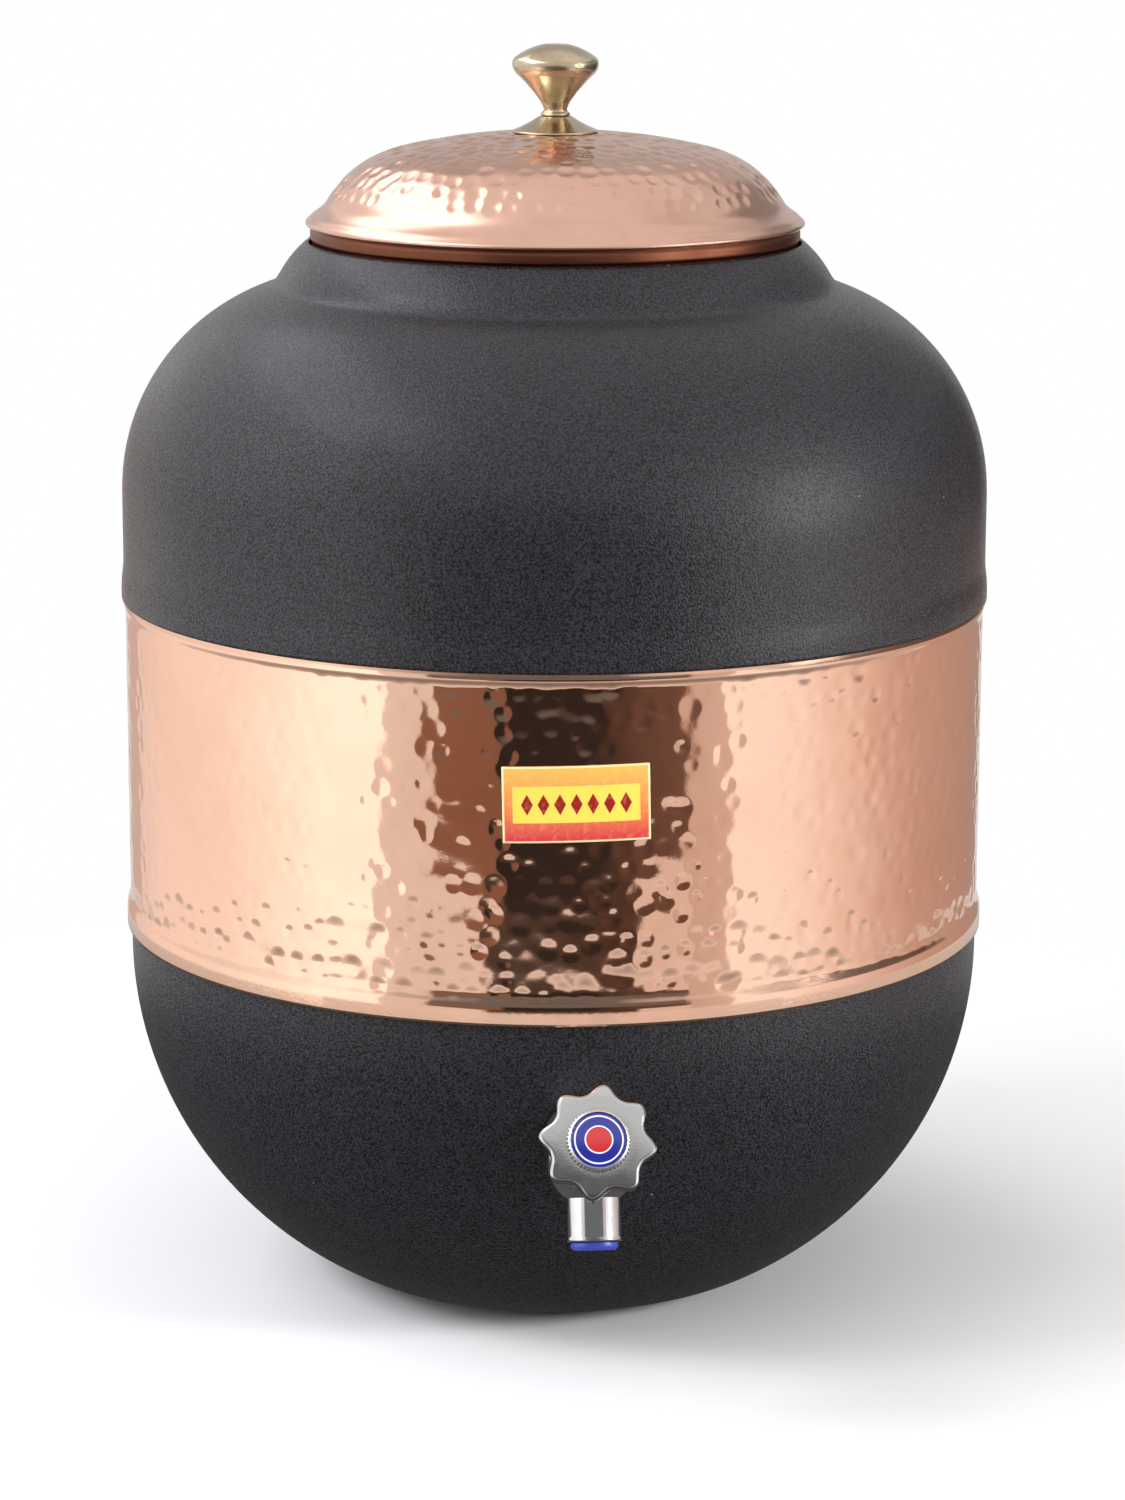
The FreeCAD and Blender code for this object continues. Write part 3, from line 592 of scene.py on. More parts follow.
@dataclass(frozen=True)
class Coating:
    """What most finishes have.

    Attributes:
        name: The material's name.
        tone: Its main colour.
        roughness: Its least or mean roughness.
    """

    name: str
    tone: Colour
    roughness: float

    def shader(self) -> Shader:
        """Start the material's node tree."""
        return Shader(bpy.data.materials.new(self.name))

    def shade(self, share: float) -> Colour:
        """Return the main colour, made darker or lighter."""
        return tuple(c * share for c in self.tone)


@dataclass(frozen=True)
class CopperSheet(Coating):
    """Bare copper, from mirror-bright to dull.

    Attributes:
        stain: The colour of its darker patches.
        stained: How much of the patches shows.
        haze: How much rougher the dull patches are.
        pits: How many small dark specks show, from 0 to 1.
    """

    stain: Colour
    stained: float
    haze: float
    pits: float

    def build(self) -> Material:
        """Return the material."""
        shader = self.shader()
        cloud = shader.noise(28.0, 5.0, 0.6)
        tone = shader.blend(shader.span(cloud, 0.42, 0.72, 0.0, self.stained), self.tone, self.stain)
        shown = shader.span(shader.noise(46.0, 2.0), 0.60, 0.66, 0.0, self.pits)
        pitted = shader.specks(210.0, 0.05, 0.09, shown)
        tone = shader.blend(pitted, tone, (0.10, 0.035, 0.02))
        rough = shader.span(shader.noise(60.0, 6.0, 0.65), 0.3, 0.75, self.roughness,
                            self.roughness + self.haze)
        rough = shader.math("MAXIMUM", rough, shader.math("MULTIPLY", pitted, 0.6))
        grain = shader.bump(shader.noise(900.0, 4.0), 0.12, 0.05)
        return shader.surface(Base_Color=tone, Metallic=1.0, Roughness=rough, Normal=grain)


@dataclass(frozen=True)
class BlackPaint(Coating):
    """Matte black paint with a fine grain, a low sheen and a few pale specks of dust."""

    def build(self) -> Material:
        """Return the material."""
        shader = self.shader()
        fine = shader.noise(2000.0, 2.0, 0.55)
        tone = shader.blend(shader.span(fine, 0.38, 0.64, 0.0, 1.0), self.shade(0.05), self.shade(3.7))
        shown = shader.span(shader.noise(31.0, 1.0), 0.51, 0.54, 0.0, 0.75)
        dusty = shader.specks(95.0, 0.022, 0.036, shown)
        tone = shader.blend(dusty, tone, (0.30, 0.29, 0.28))
        cloud = shader.noise(9.0, 4.0, 0.6)
        broad = shader.span(cloud, 0.3, 0.7, self.roughness - 0.04, self.roughness + 0.05)
        rough = shader.math("ADD", broad, shader.span(fine, 0.36, 0.66, 0.12, -0.08))
        grain = shader.bump(fine, 1.0, 0.26)
        swell = shader.bump(shader.noise(38.0, 3.0), 0.10, 0.5, grain)
        return shader.surface(Base_Color=tone, Metallic=0.0, Roughness=rough, Specular_IOR_Level=0.2,
                              Coat_Weight=0.35, Coat_Roughness=0.2,
                              Coat_Normal=shader.bump(fine, 0.2, 0.26), Normal=swell)


@dataclass(frozen=True)
class TurnedMetal(Coating):
    """Metal with the fine rings that a lathe leaves, such as the brass knob.

    Attributes:
        stain: The colour of its darker patches.
        rings: How strongly the lathe's rings show.
        pitch: The rings' distance, in millimetres.
    """

    stain: Colour
    rings: float
    pitch: float = 0.35

    def build(self) -> Material:
        """Return the material."""
        shader = self.shader()
        split = shader.node("ShaderNodeSeparateXYZ", {"Vector": shader.place})
        height = shader.math("MULTIPLY", split.outputs["Z"], 1.0 / (self.pitch * MM))
        layers = shader.node("ShaderNodeCombineXYZ", {"Z": height}).outputs["Vector"]
        ring = shader.noise(1.0, 2.0, 0.6, layers)
        tone = shader.blend(shader.span(shader.noise(160.0, 5.0, 0.6), 0.40, 0.75, 0.0, 0.6), self.tone,
                            self.stain)
        rough = shader.span(shader.noise(240.0, 5.0, 0.6), 0.3, 0.8, self.roughness, self.roughness + 0.16)
        return shader.surface(Base_Color=tone, Metallic=1.0, Roughness=rough,
                              Normal=shader.bump(ring, self.rings, 0.08))


@dataclass(frozen=True)
class ChromePlate(Coating):
    """Bright chrome with faint haze and casting waves below the plate.

    Attributes:
        grain: How strongly the sand of the casting shows.
        hazed: The colour of the hazy patches.
    """

    grain: float
    hazed: Colour = (0.56, 0.56, 0.58)

    def build(self) -> Material:
        """Return the material."""
        shader = self.shader()
        haze = shader.span(shader.noise(120.0, 5.0), 0.45, 0.8, 0.0, 0.5)
        tone = shader.blend(haze, self.tone, self.hazed)
        rough = shader.span(shader.noise(260.0, 6.0, 0.65), 0.35, 0.8, self.roughness, self.roughness + 0.14)
        wave = shader.bump(shader.noise(170.0, 2.0), 0.10, 0.35)
        sand = shader.bump(shader.noise(2600.0, 3.0), self.grain, 0.05, wave)
        return shader.surface(Base_Color=tone, Metallic=1.0, Roughness=rough, Normal=sand)


@dataclass(frozen=True)
class Moulded(Coating):
    """Moulded plastic or rubber with a fine skin.

    Attributes:
        skin: How strongly its grain shows.
        clear: The strength of a clear coat.
    """

    skin: float
    clear: float = 0.0

    def build(self) -> Material:
        """Return the material."""
        shader = self.shader()
        cloud = shader.noise(140.0, 4.0)
        tone = shader.blend(cloud, self.shade(0.85), self.shade(1.1))
        rough = shader.span(cloud, 0.3, 0.7, self.roughness - 0.05, self.roughness + 0.05)
        normal = shader.bump(shader.noise(1100.0, 3.0), self.skin, 0.05)
        return shader.surface(Base_Color=tone, Roughness=rough, Normal=normal, Coat_Weight=self.clear,
                              Coat_Roughness=0.04)


@dataclass(frozen=True)
class RoughMetal(Coating):
    """Plain metal as it comes from the machine or the soldering iron."""

    def build(self) -> Material:
        """Return the material."""
        shader = self.shader()
        cloud = shader.noise(190.0, 5.0, 0.6)
        tone = shader.blend(cloud, self.shade(0.7), self.shade(1.2))
        rough = shader.span(cloud, 0.3, 0.7, self.roughness + 0.1, self.roughness - 0.05)
        normal = shader.bump(shader.noise(700.0, 4.0), 0.2, 0.08)
        return shader.surface(Base_Color=tone, Metallic=1.0, Roughness=rough, Normal=normal)


@dataclass(frozen=True)
class LabelPrint(Coating):
    """A printed film that runs from yellow to red, with a pale border and a row of diamonds.

    Attributes:
        grounds: The colours that the ground takes above its bottom, each with its height.
        border: The colour of the thin border.
        badge: The colour of the plain panel.
        mark: The colour of the diamonds.
        worn: The colour that wear leaves.
        marks: How many places for diamonds there are across the label.
    """

    grounds: tuple[tuple[float, Colour], ...] = (
        (0.45, (0.80, 0.24, 0.07)), (0.95, (0.82, 0.47, 0.09)))
    border: Colour = (0.85, 0.72, 0.36)
    badge: Colour = (0.86, 0.68, 0.09)
    mark: Colour = (0.33, 0.012, 0.01)
    worn: Colour = (0.9, 0.8, 0.6)
    marks: float = 9.0

    def ground(self, shader: Shader, up: Socket) -> Socket:
        """Add the ground, whose colour changes from the bottom of the label to its top.

        Args:
            shader: The material under construction.
            up: The height on the label, from 0 to 1.

        Returns:
            The ground's colour.
        """
        made = shader.node("ShaderNodeValToRGB", {"Fac": up})
        elements = made.color_ramp.elements
        elements.new(0.5)
        for element, (place, colour) in zip(elements, ((0.0, self.tone), *self.grounds)):
            element.position, element.color = place, (*colour, 1.0)
        return made.outputs["Color"]

    def build(self) -> Material:
        """Return the material, which reads the label's own coordinates."""
        shader = self.shader()
        split = shader.node("ShaderNodeSeparateXYZ", {"Vector": shader.coordinates["UV"]})
        across, up = split.outputs["X"], split.outputs["Y"]
        from_middle, from_side = shader.off(up, 0.5), shader.off(across, 0.5)
        inside = shader.math("MULTIPLY", shader.math("LESS_THAN", from_middle, 0.24),
                             shader.math("LESS_THAN", from_side, 0.43))
        tone = shader.blend(inside, self.ground(shader, up), self.badge)
        cell = shader.off(shader.math("FRACT", shader.math("MULTIPLY", across, self.marks)), 0.5)
        slant = shader.math("ADD", shader.math("MULTIPLY", from_middle, 2.6), cell)
        shown = shader.math("MULTIPLY", shader.math("LESS_THAN", slant, 0.36),
                            shader.math("LESS_THAN", from_side, 0.39))
        tone = shader.blend(shown, tone, self.mark)
        edge = shader.math("MAXIMUM", shader.math("GREATER_THAN", from_middle, 0.475),
                           shader.math("GREATER_THAN", from_side, 0.487))
        tone = shader.blend(edge, tone, self.border)
        tone = shader.blend(shader.span(shader.noise(700.0, 5.0), 0.5, 0.85, 0.0, 0.18), tone, self.worn)
        crease = shader.bump(shader.noise(120.0, 3.0), 0.15, 0.2)
        return shader.surface(Base_Color=tone, Roughness=self.roughness, Normal=crease, Coat_Weight=0.3,
                              Coat_Roughness=0.12)


@dataclass(frozen=True)
class IndexPrint(Coating):
    """The blue disc of the tap, with a white ring and a plain red dot under its gloss.

    Attributes:
        red: The dot's colour.
        white: The colour of the ring and of the dot's rim.
        dot_r: The dot's radius.
        ring_r: The ring's radius.
        ring_w: The ring's width.
        sheet_w: The width that the disc's own coordinates cover.
    """

    red: Colour = (0.52, 0.018, 0.018)
    white: Colour = (0.82, 0.84, 0.88)
    dot_r: float = 2.9
    ring_r: float = 5.45
    ring_w: float = 0.28
    sheet_w: float = 20.0

    def build(self) -> Material:
        """Return the material, which reads the disc's own coordinates, with the middle at 0.5."""
        shader = self.shader()
        away = shader.node("ShaderNodeVectorMath", {0: shader.coordinates["UV"], 1: (0.5, 0.5, 0.0)},
                           operation="DISTANCE").outputs["Value"]
        millimetres = shader.math("MULTIPLY", away, self.sheet_w)
        tone = shader.blend(shader.noise(90.0, 2.0), self.tone, self.shade(1.5))
        dot = shader.span(millimetres, self.dot_r - 0.05, self.dot_r + 0.05, 1.0, 0.0)
        tone = shader.blend(dot, tone, self.red)
        for radius, low, high in ((self.dot_r + 0.2, 0.12, 0.2),
                                  (self.ring_r, self.ring_w / 2, self.ring_w / 2 + 0.08)):
            line = shader.span(shader.off(millimetres, radius), low, high, 1.0, 0.0)
            tone = shader.blend(line, tone, self.white)
        return shader.surface(Base_Color=tone, Roughness=self.roughness, Coat_Weight=1.0,
                              Coat_Roughness=0.02)


class Maker(Protocol):
    """Anything that builds a material."""

    def build(self) -> Material:
        """Return the material."""


class Finish(Enum):
    """Every finish of the pot, each with the record's slot that it belongs to."""

    POLISHED_COPPER = CopperSheet(
        "polished_copper", (0.95, 0.61, 0.45), 0.035, (0.86, 0.47, 0.31), 0.45, 0.06,
        0.25), "polished_copper"
    LID_COPPER = CopperSheet(
        "lid_copper", (0.73, 0.455, 0.35), 0.19, (0.60, 0.33, 0.245), 0.6, 0.10, 0.9), "dull_copper"
    # The collar's copper is painted dark: a painted shade under the lid's rim.
    SHADED_COLLAR_COPPER = CopperSheet(
        "shaded_collar_copper", (0.17, 0.062, 0.034), 0.32, (0.09, 0.03, 0.02), 0.7, 0.12, 0.4), "dull_copper"
    INNER_COPPER = CopperSheet(
        "inner_copper", (0.86, 0.42, 0.26), 0.26, (0.62, 0.22, 0.11), 0.7, 0.14, 0.3), "dull_copper"
    BLACK_PAINT = BlackPaint("matte_black_paint", (0.0096, 0.0090, 0.0108), 0.37), "black_paint"
    KNOB_BRASS = TurnedMetal("knob_brass", (0.60, 0.49, 0.335), 0.13, (0.34, 0.27, 0.17), 0.35), "brass"
    RAW_BRASS = TurnedMetal("raw_brass", (0.78, 0.60, 0.30), 0.28, (0.60, 0.42, 0.18), 0.5), "raw_brass"
    CHROME = ChromePlate("chrome_plate", (0.80, 0.80, 0.82), 0.045, 0.05), "chrome"
    WHEEL_CHROME = ChromePlate("wheel_chrome", (0.56, 0.56, 0.55), 0.14, 0.35), "chrome"
    RING_CHROME = ChromePlate("ring_chrome", (0.96, 0.96, 0.97), 0.34, 0.1), "chrome"
    BLUE_PLASTIC = Moulded("blue_plastic", (0.035, 0.055, 0.36), 0.3, 0.1, 0.3), "blue_plastic"
    RUBBER = Moulded("black_rubber", (0.022, 0.022, 0.022), 0.75, 0.5), "rubber"
    PACKING = Moulded("white_packing", (0.78, 0.78, 0.75), 0.6, 0.4), "packing"
    STEEL = RoughMetal("zinc_steel", (0.62, 0.62, 0.60), 0.35), "steel"
    SOLDER = RoughMetal("tin_solder", (0.60, 0.60, 0.58), 0.42), "solder"
    LABEL = LabelPrint("label_print", (0.62, 0.025, 0.05), 0.22), "label"
    INDEX = IndexPrint("index_print", (0.010, 0.014, 0.20), 0.12), "blue_plastic"

    def __init__(self, maker: Maker, slot: str) -> None:
        """Keep what makes the material, and the record's slot."""
        self.maker, self.slot = maker, slot

    @cache
    def material(self) -> Material:
        """Return the material, which is built on its first use."""
        return self.maker.build()


def coat_outside(piece: Piece, finish: Finish, bare: np.ndarray) -> None:
    """Give a sheet's outside its finish and leave the rest in bare copper.

    Args:
        piece: The sheet.
        finish: What its outside has.
        bare: Whether each face is bare copper.
    """
    for side in (finish, Finish.INNER_COPPER):
        piece.data.materials.append(side.material())
    piece.data.polygons.foreach_set("material_index", bare.astype(np.int32))


def finish_piece(piece: Piece, finish: Finish, rider: Rider, node: str) -> None:
    """Give a piece its material and its body, and hide the solid that it stands for.

    Args:
        piece: The finished object.
        finish: What it is made of.
        rider: The body that it moves with.
        node: The solid that it replaces.
    """
    if not piece.data.materials:
        piece.data.materials.append(finish.material())
    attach(piece, rider.value)
    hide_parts(node)
    log.info("%s: %d faces on %s", piece.name, len(piece.data.polygons), rider.value)


# ---- Sub-assemblies ----


@dataclass
class Pot:
    """The three lapped sheets of the pot.

    Attributes:
        sheet: The sheets' thickness.
        sides: How many steps make a plain shell's full turn.
        band_sides: The same for the hammered band.
        bead_r: The radius of the beads where sheets lap.
        crease: Where the shoulder meets the neck.
        lip: The mouth's edge.
        corner: Where the bowl's side meets its rounded edge.
    """

    sheet: float = 0.8
    sides: int = 288
    band_sides: int = 1160
    band_r: float = 107.0
    bead_r: float = 107.9
    band_z: float = 90.9
    dome_z: float = 173.9
    band_top: float = 178.2
    lap_h: float = 4.8
    lap_rise: float = 1.8
    lip_bead: float = 0.55
    dome_r: float = 107.3
    shoulder_z: float = 200.0
    shoulder_arc: float = 52.3
    crease: Point = (69.2, 250.335)
    neck_arc: float = 27.0
    lip: Point = (61.0, 261.135)
    base_r: float = 106.8
    base_top: float = 95.2
    side_arc: float = 93.0
    side_z: float = 85.61
    corner_arc: float = 36.0
    corner: Point = (59.595, 4.667)
    foot_r: float = 41.868
    hammering: Hammering = Hammering(5.4, 4.6, 2.4, 0.1, 0.036, 11.0, 0.8, 7)

    def build(self) -> None:
        """Build the shells."""
        self.upper_shell()
        self.band()
        self.base_shell()

    def lapped(self, radius: float, low: float) -> list[Point]:
        """Return the corners of a lap bead that steps in to a wall of the given radius."""
        return [(self.bead_r, low), (self.bead_r, low + self.lap_h),
                (radius, low + self.lap_h + self.lap_rise)]

    def upper_shell(self) -> None:
        """Shoulder and neck, with the bare edge of the mouth."""
        step = 0.8
        corners = self.lapped(self.dome_r, self.dome_z)
        corners.append((self.dome_r, self.shoulder_z))
        corners += arc(corners[-1], self.crease, self.shoulder_arc)
        corners += arc(self.crease, self.lip, self.neck_arc)
        line = soften(even(corners, step), 3.2, step)
        loop = sheet_loop(line, self.sheet)
        shell = turn_piece("upper_shell_skin", loop, self.sides)
        bare = np.arange(len(loop) * self.sides) >= (len(line) - 1) * self.sides
        coat_outside(shell, Finish.BLACK_PAINT, bare)
        finish_piece(shell, Finish.BLACK_PAINT, Rider.POT, "upper_shell")

    def band(self) -> None:
        """Hammered band with smooth lips at its top and bottom."""
        step, sides = 0.56, self.band_sides
        corners = self.lapped(self.band_r, self.band_z)
        corners += [(self.band_r, self.dome_z - 2.6), (self.band_r + self.lip_bead, self.dome_z - 2.0),
                    (self.band_r + self.lip_bead, self.dome_z - 0.7), (self.band_r, self.dome_z - 0.1),
                    (self.band_r, self.band_top)]
        line = soften(even(corners, step), 1.1, step)
        loop = sheet_loop(line, self.sheet, 12)
        relief = np.zeros((len(loop), sides))
        visible = self.dome_z - self.band_z
        relief[:len(line)] = self.hammering.relief(
            line, sides, self.lap_h + self.lap_rise - 1.0, visible - 2.4, 1.8)
        band = turn_piece("hammered_band_skin", loop, sides, relief=relief)
        coat_outside(band, Finish.POLISHED_COPPER, np.arange(len(loop) * sides) >= len(line) * sides)
        finish_piece(band, Finish.POLISHED_COPPER, Rider.POT, "hammered_band")

    def base_shell(self) -> None:
        """Bowl with its flat foot, cut where the tap's shank goes through."""
        step = 1.2
        corners: list[Point] = [(0.0, 0.0), (self.foot_r, 0.0)]
        corners += arc(corners[-1], self.corner, self.corner_arc)
        corners += arc(self.corner, (self.base_r, self.side_z), self.side_arc)
        corners.append((self.base_r, self.base_top))
        line = even(corners, step)
        loop = sheet_loop(line, self.sheet)
        loop[len(line):, 0] = np.maximum(loop[len(line):, 0], 0.0)
        loop[-1, 0] = 0.0
        bowl = turn_piece("base_shell_skin", loop, self.sides, closed=False)
        count = len(bowl.data.polygons)
        middles, facing = np.empty(count * 3), np.empty(count * 3)
        bowl.data.polygons.foreach_get("center", middles)
        bowl.data.polygons.foreach_get("normal", facing)
        middles, facing = middles.reshape(-1, 3) / MM, facing.reshape(-1, 3)
        outward = np.einsum("ij,ij->i", middles - np.array([0.0, 0.0, self.side_z]), facing) > 0
        coat_outside(bowl, Finish.BLACK_PAINT, ~outward)
        self.cut_tap_hole(bowl, middles)
        finish_piece(bowl, Finish.BLACK_PAINT, Rider.POT, "base_shell")

    def cut_tap_hole(self, bowl: Piece, middles: np.ndarray) -> None:
        """Open both faces of the bowl where the shank passes, and join the two edges.

        Args:
            bowl: The bowl's object.
            middles: The middle of each face, in millimetres.
        """
        play, depth = 0.5, 4.0
        local = along_axle(Axle.SHANK, middles)
        inside = (np.hypot(local[:, 0], local[:, 1]) < Tap().shank_r + play) & (np.abs(local[:, 2]) < depth)
        work = bmesh.new()
        work.from_mesh(bowl.data)
        work.faces.ensure_lookup_table()
        bmesh.ops.delete(work, geom=[work.faces[k] for k in np.nonzero(inside)[0]], context="FACES")
        bmesh.ops.bridge_loops(work, edges=[edge for edge in work.edges if edge.is_boundary])
        work.to_mesh(bowl.data)
        work.free()


@dataclass
class Label:
    """Small printed film on the band, a little askew as it was stuck on.

    Attributes:
        glued_r: The radius of its back.
        middle_z: The height of its middle.
        turn: How far its middle is turned from the front.
        roll: How far it leans.
    """

    width: float = 34.1
    height: float = 17.9
    thickness: float = 0.16
    glued_r: float = 107.1
    middle_z: float = 143.6
    turn: float = -1.5
    roll: float = -1.2
    columns: int = 48
    rows: int = 24

    def rim(self) -> list[int]:
        """Return the numbers of the points round the film's edge."""
        columns, rows, wide = self.columns, self.rows, self.columns + 1
        return ([*range(columns)] + [r * wide + columns for r in range(rows)]
                + [rows * wide + c for c in range(columns, 0, -1)] + [r * wide for r in range(rows, 0, -1)])

    def build(self) -> None:
        """Build the film, with its own flat coordinates."""
        grid = np.meshgrid(np.arange(self.columns + 1) / self.columns, np.arange(self.rows + 1) / self.rows)
        along, over = (shares.ravel() for shares in grid)
        across, up = (along - 0.5) * self.width, (over - 0.5) * self.height
        roll = math.radians(self.roll)
        angle = ((across * math.cos(roll) + up * math.sin(roll)) / self.glued_r
                 + math.radians(self.turn - 90))
        rise = self.middle_z + up * math.cos(roll) - across * math.sin(roll)
        points = np.concatenate([np.stack([r * np.cos(angle), r * np.sin(angle), rise], axis=1)
                                 for r in (self.glued_r + self.thickness, self.glued_r)])
        wide, back = self.columns + 1, len(along)
        faces = [(r * wide + c, r * wide + c + 1, (r + 1) * wide + c + 1, (r + 1) * wide + c)
                 for r in range(self.rows) for c in range(self.columns)]
        faces += [tuple(back + corner for corner in reversed(face)) for face in list(faces)]
        rim = self.rim()
        faces += [(here, here + back, after + back, after) for here, after in zip(rim, rim[1:] + rim[:1])]
        label = add_object("front_label_film", points, faces)
        layer = label.data.uv_layers.new(name="film")
        corners = np.empty(len(label.data.loops), dtype=np.int32)
        label.data.loops.foreach_get("vertex_index", corners)
        layer.data.foreach_set("uv", np.tile(np.stack([along, over], axis=1), (2, 1))[corners].ravel())
        finish_piece(label, Finish.LABEL, Rider.POT, "front_label")


@dataclass
class Lid:
    """Hammered cover with its rolled rim, the collar below it and the turned knob.

    Attributes:
        bead: The radius of the rolled rim.
        edge_r: The radius where the cover leaves the rim.
        turn: Where the smooth outer shoulder turns up.
        crown: Where the shoulder meets the crown.
        smooth_r: The hammering stays inside this radius.
    """

    sheet: float = 0.8
    cover_sides: int = 1000
    rim_z: float = 265.635
    rim_r: float = 61.6
    bead: float = 0.9
    edge_r: float = 61.15
    turn: Point = (56.6, 269.9)
    turn_arc: float = 16.0
    smooth_r: float = 56.0
    crown: Point = (38.9, 283.35)
    shoulder_arc: float = 27.0
    crown_arc: float = 160.0
    top_z: float = 287.635
    lip_z: float = 261.135
    collar_r: float = 59.7
    collar_depth: float = 16.0
    flange_z: float = 287.397
    flange_top: float = 291.397
    hammering: Hammering = Hammering(4.9, 4.3, 2.45, 0.34, 0.03, 13.0, 0.4, 11, 0.95)

    def build(self) -> None:
        """Build the cover, the collar, the flange and the knob."""
        self.cover()
        self.collar()
        self.flange()
        self.knob()

    def cover(self) -> None:
        """Domed cover, hammered down to its smooth outer shoulder, with a rolled rim."""
        step, sides, first_inner, inner_every = 0.5, self.cover_sides, 14, 3
        middle_r, angles = self.rim_r - self.bead, [math.radians(a) for a in range(-210, 31, 20)]
        outer = [(middle_r + self.bead * math.cos(a), self.rim_z + self.bead * math.sin(a)) for a in angles]
        outer += [(self.edge_r - 0.45, self.rim_z + 0.8), (self.edge_r - 0.95, self.rim_z + 1.05),
                  (self.edge_r - 0.8, self.rim_z + 1.5)]
        outer += arc(outer[-1], self.turn, self.turn_arc, left=False)
        outer += arc(self.turn, self.crown, self.shoulder_arc)
        outer += arc(self.crown, (2.3, self.top_z - 0.02), self.crown_arc)
        line = soften(even(outer, step), 0.5, step)
        inner = (line - self.sheet * normals(line))[first_inner:]
        loop = np.concatenate([line, inner[::-1][::inner_every]])
        run = distances(line)
        first_dent = float(run[np.argmax((line[:, 0] < self.smooth_r) & (line[:, 1] > self.turn[1] + 0.4))])
        relief = np.zeros((len(loop), sides))
        relief[:len(line)] = self.hammering.relief(line, sides, first_dent, float(run[-1]) - 5.0, 3.5)
        cover = turn_piece("lid_cover_skin", loop, sides, relief=relief)
        coat_outside(cover, Finish.LID_COPPER, np.arange(len(loop) * sides) >= len(line) * sides)
        finish_piece(cover, Finish.LID_COPPER, Rider.LID, "lid_cover")

    def collar(self) -> None:
        """Collar that plugs the mouth, with the swaged stop that rests on the lip, in copper painted dark as
        a painted shade under the rim.
        """
        step, lip = 0.3, self.lip_z
        outer = [(self.collar_r, lip - self.collar_depth), (self.collar_r, lip + 0.3), (60.3, lip + 0.55),
                 (60.25, lip + 2.9), (59.9, lip + 3.3), (self.collar_r, self.rim_z)]
        loop = sheet_loop(soften(even(outer, step), 0.7, step), self.sheet, 4)
        collar = turn_piece("lid_skirt_skin", loop, 256)
        finish_piece(collar, Finish.SHADED_COLLAR_COPPER, Rider.LID, "lid_skirt")

    def flange(self) -> None:
        """Brass flange that the knob stands on."""
        z, top = self.flange_z, self.flange_top
        outer = [(9.6, z), (10.45, z), (10.6, z + 0.15), (10.6, z + 0.4), (10.4, z + 0.55)]
        outer += arc(outer[-1], (3.9, top), 30.0, left=False)
        outer += [(2.3, top), (2.3, self.top_z + 0.05), (3.6, self.top_z + 0.05), (3.6, top - 0.8), outer[0]]
        flange = turn_piece("knob_flange_skin", soft_loop(outer, 0.2, 0.15), 128)
        finish_piece(flange, Finish.KNOB_BRASS, Rider.LID, "knob_flange")

    def knob(self) -> None:
        """Turned brass knob with a ring at its foot."""
        step, foot = 0.16, self.flange_top + 0.05
        outer: list[Point] = [(2.0, foot), (3.6, foot), (3.75, foot + 0.3), (3.6, foot + 0.75),
                              (3.0, foot + 0.95), (2.75, foot + 1.4)]
        outer += [(3.5, 294.7), (5.35, 297.2), (7.5, 299.6), (8.8, 300.9), (9.7, 301.7), (10.25, 302.5),
                  (10.55, 303.4), (10.6, 304.4), (10.3, 305.3)]
        outer += arc(outer[-1], (3.0, 308.75), 17.0)
        outer += [(1.2, 308.85), (0.0, 308.85)]
        knob = turn_piece("lid_knob_skin", soften(even(outer, step), 0.7, step), 160, closed=False)
        finish_piece(knob, Finish.KNOB_BRASS, Rider.LID, "lid_knob")


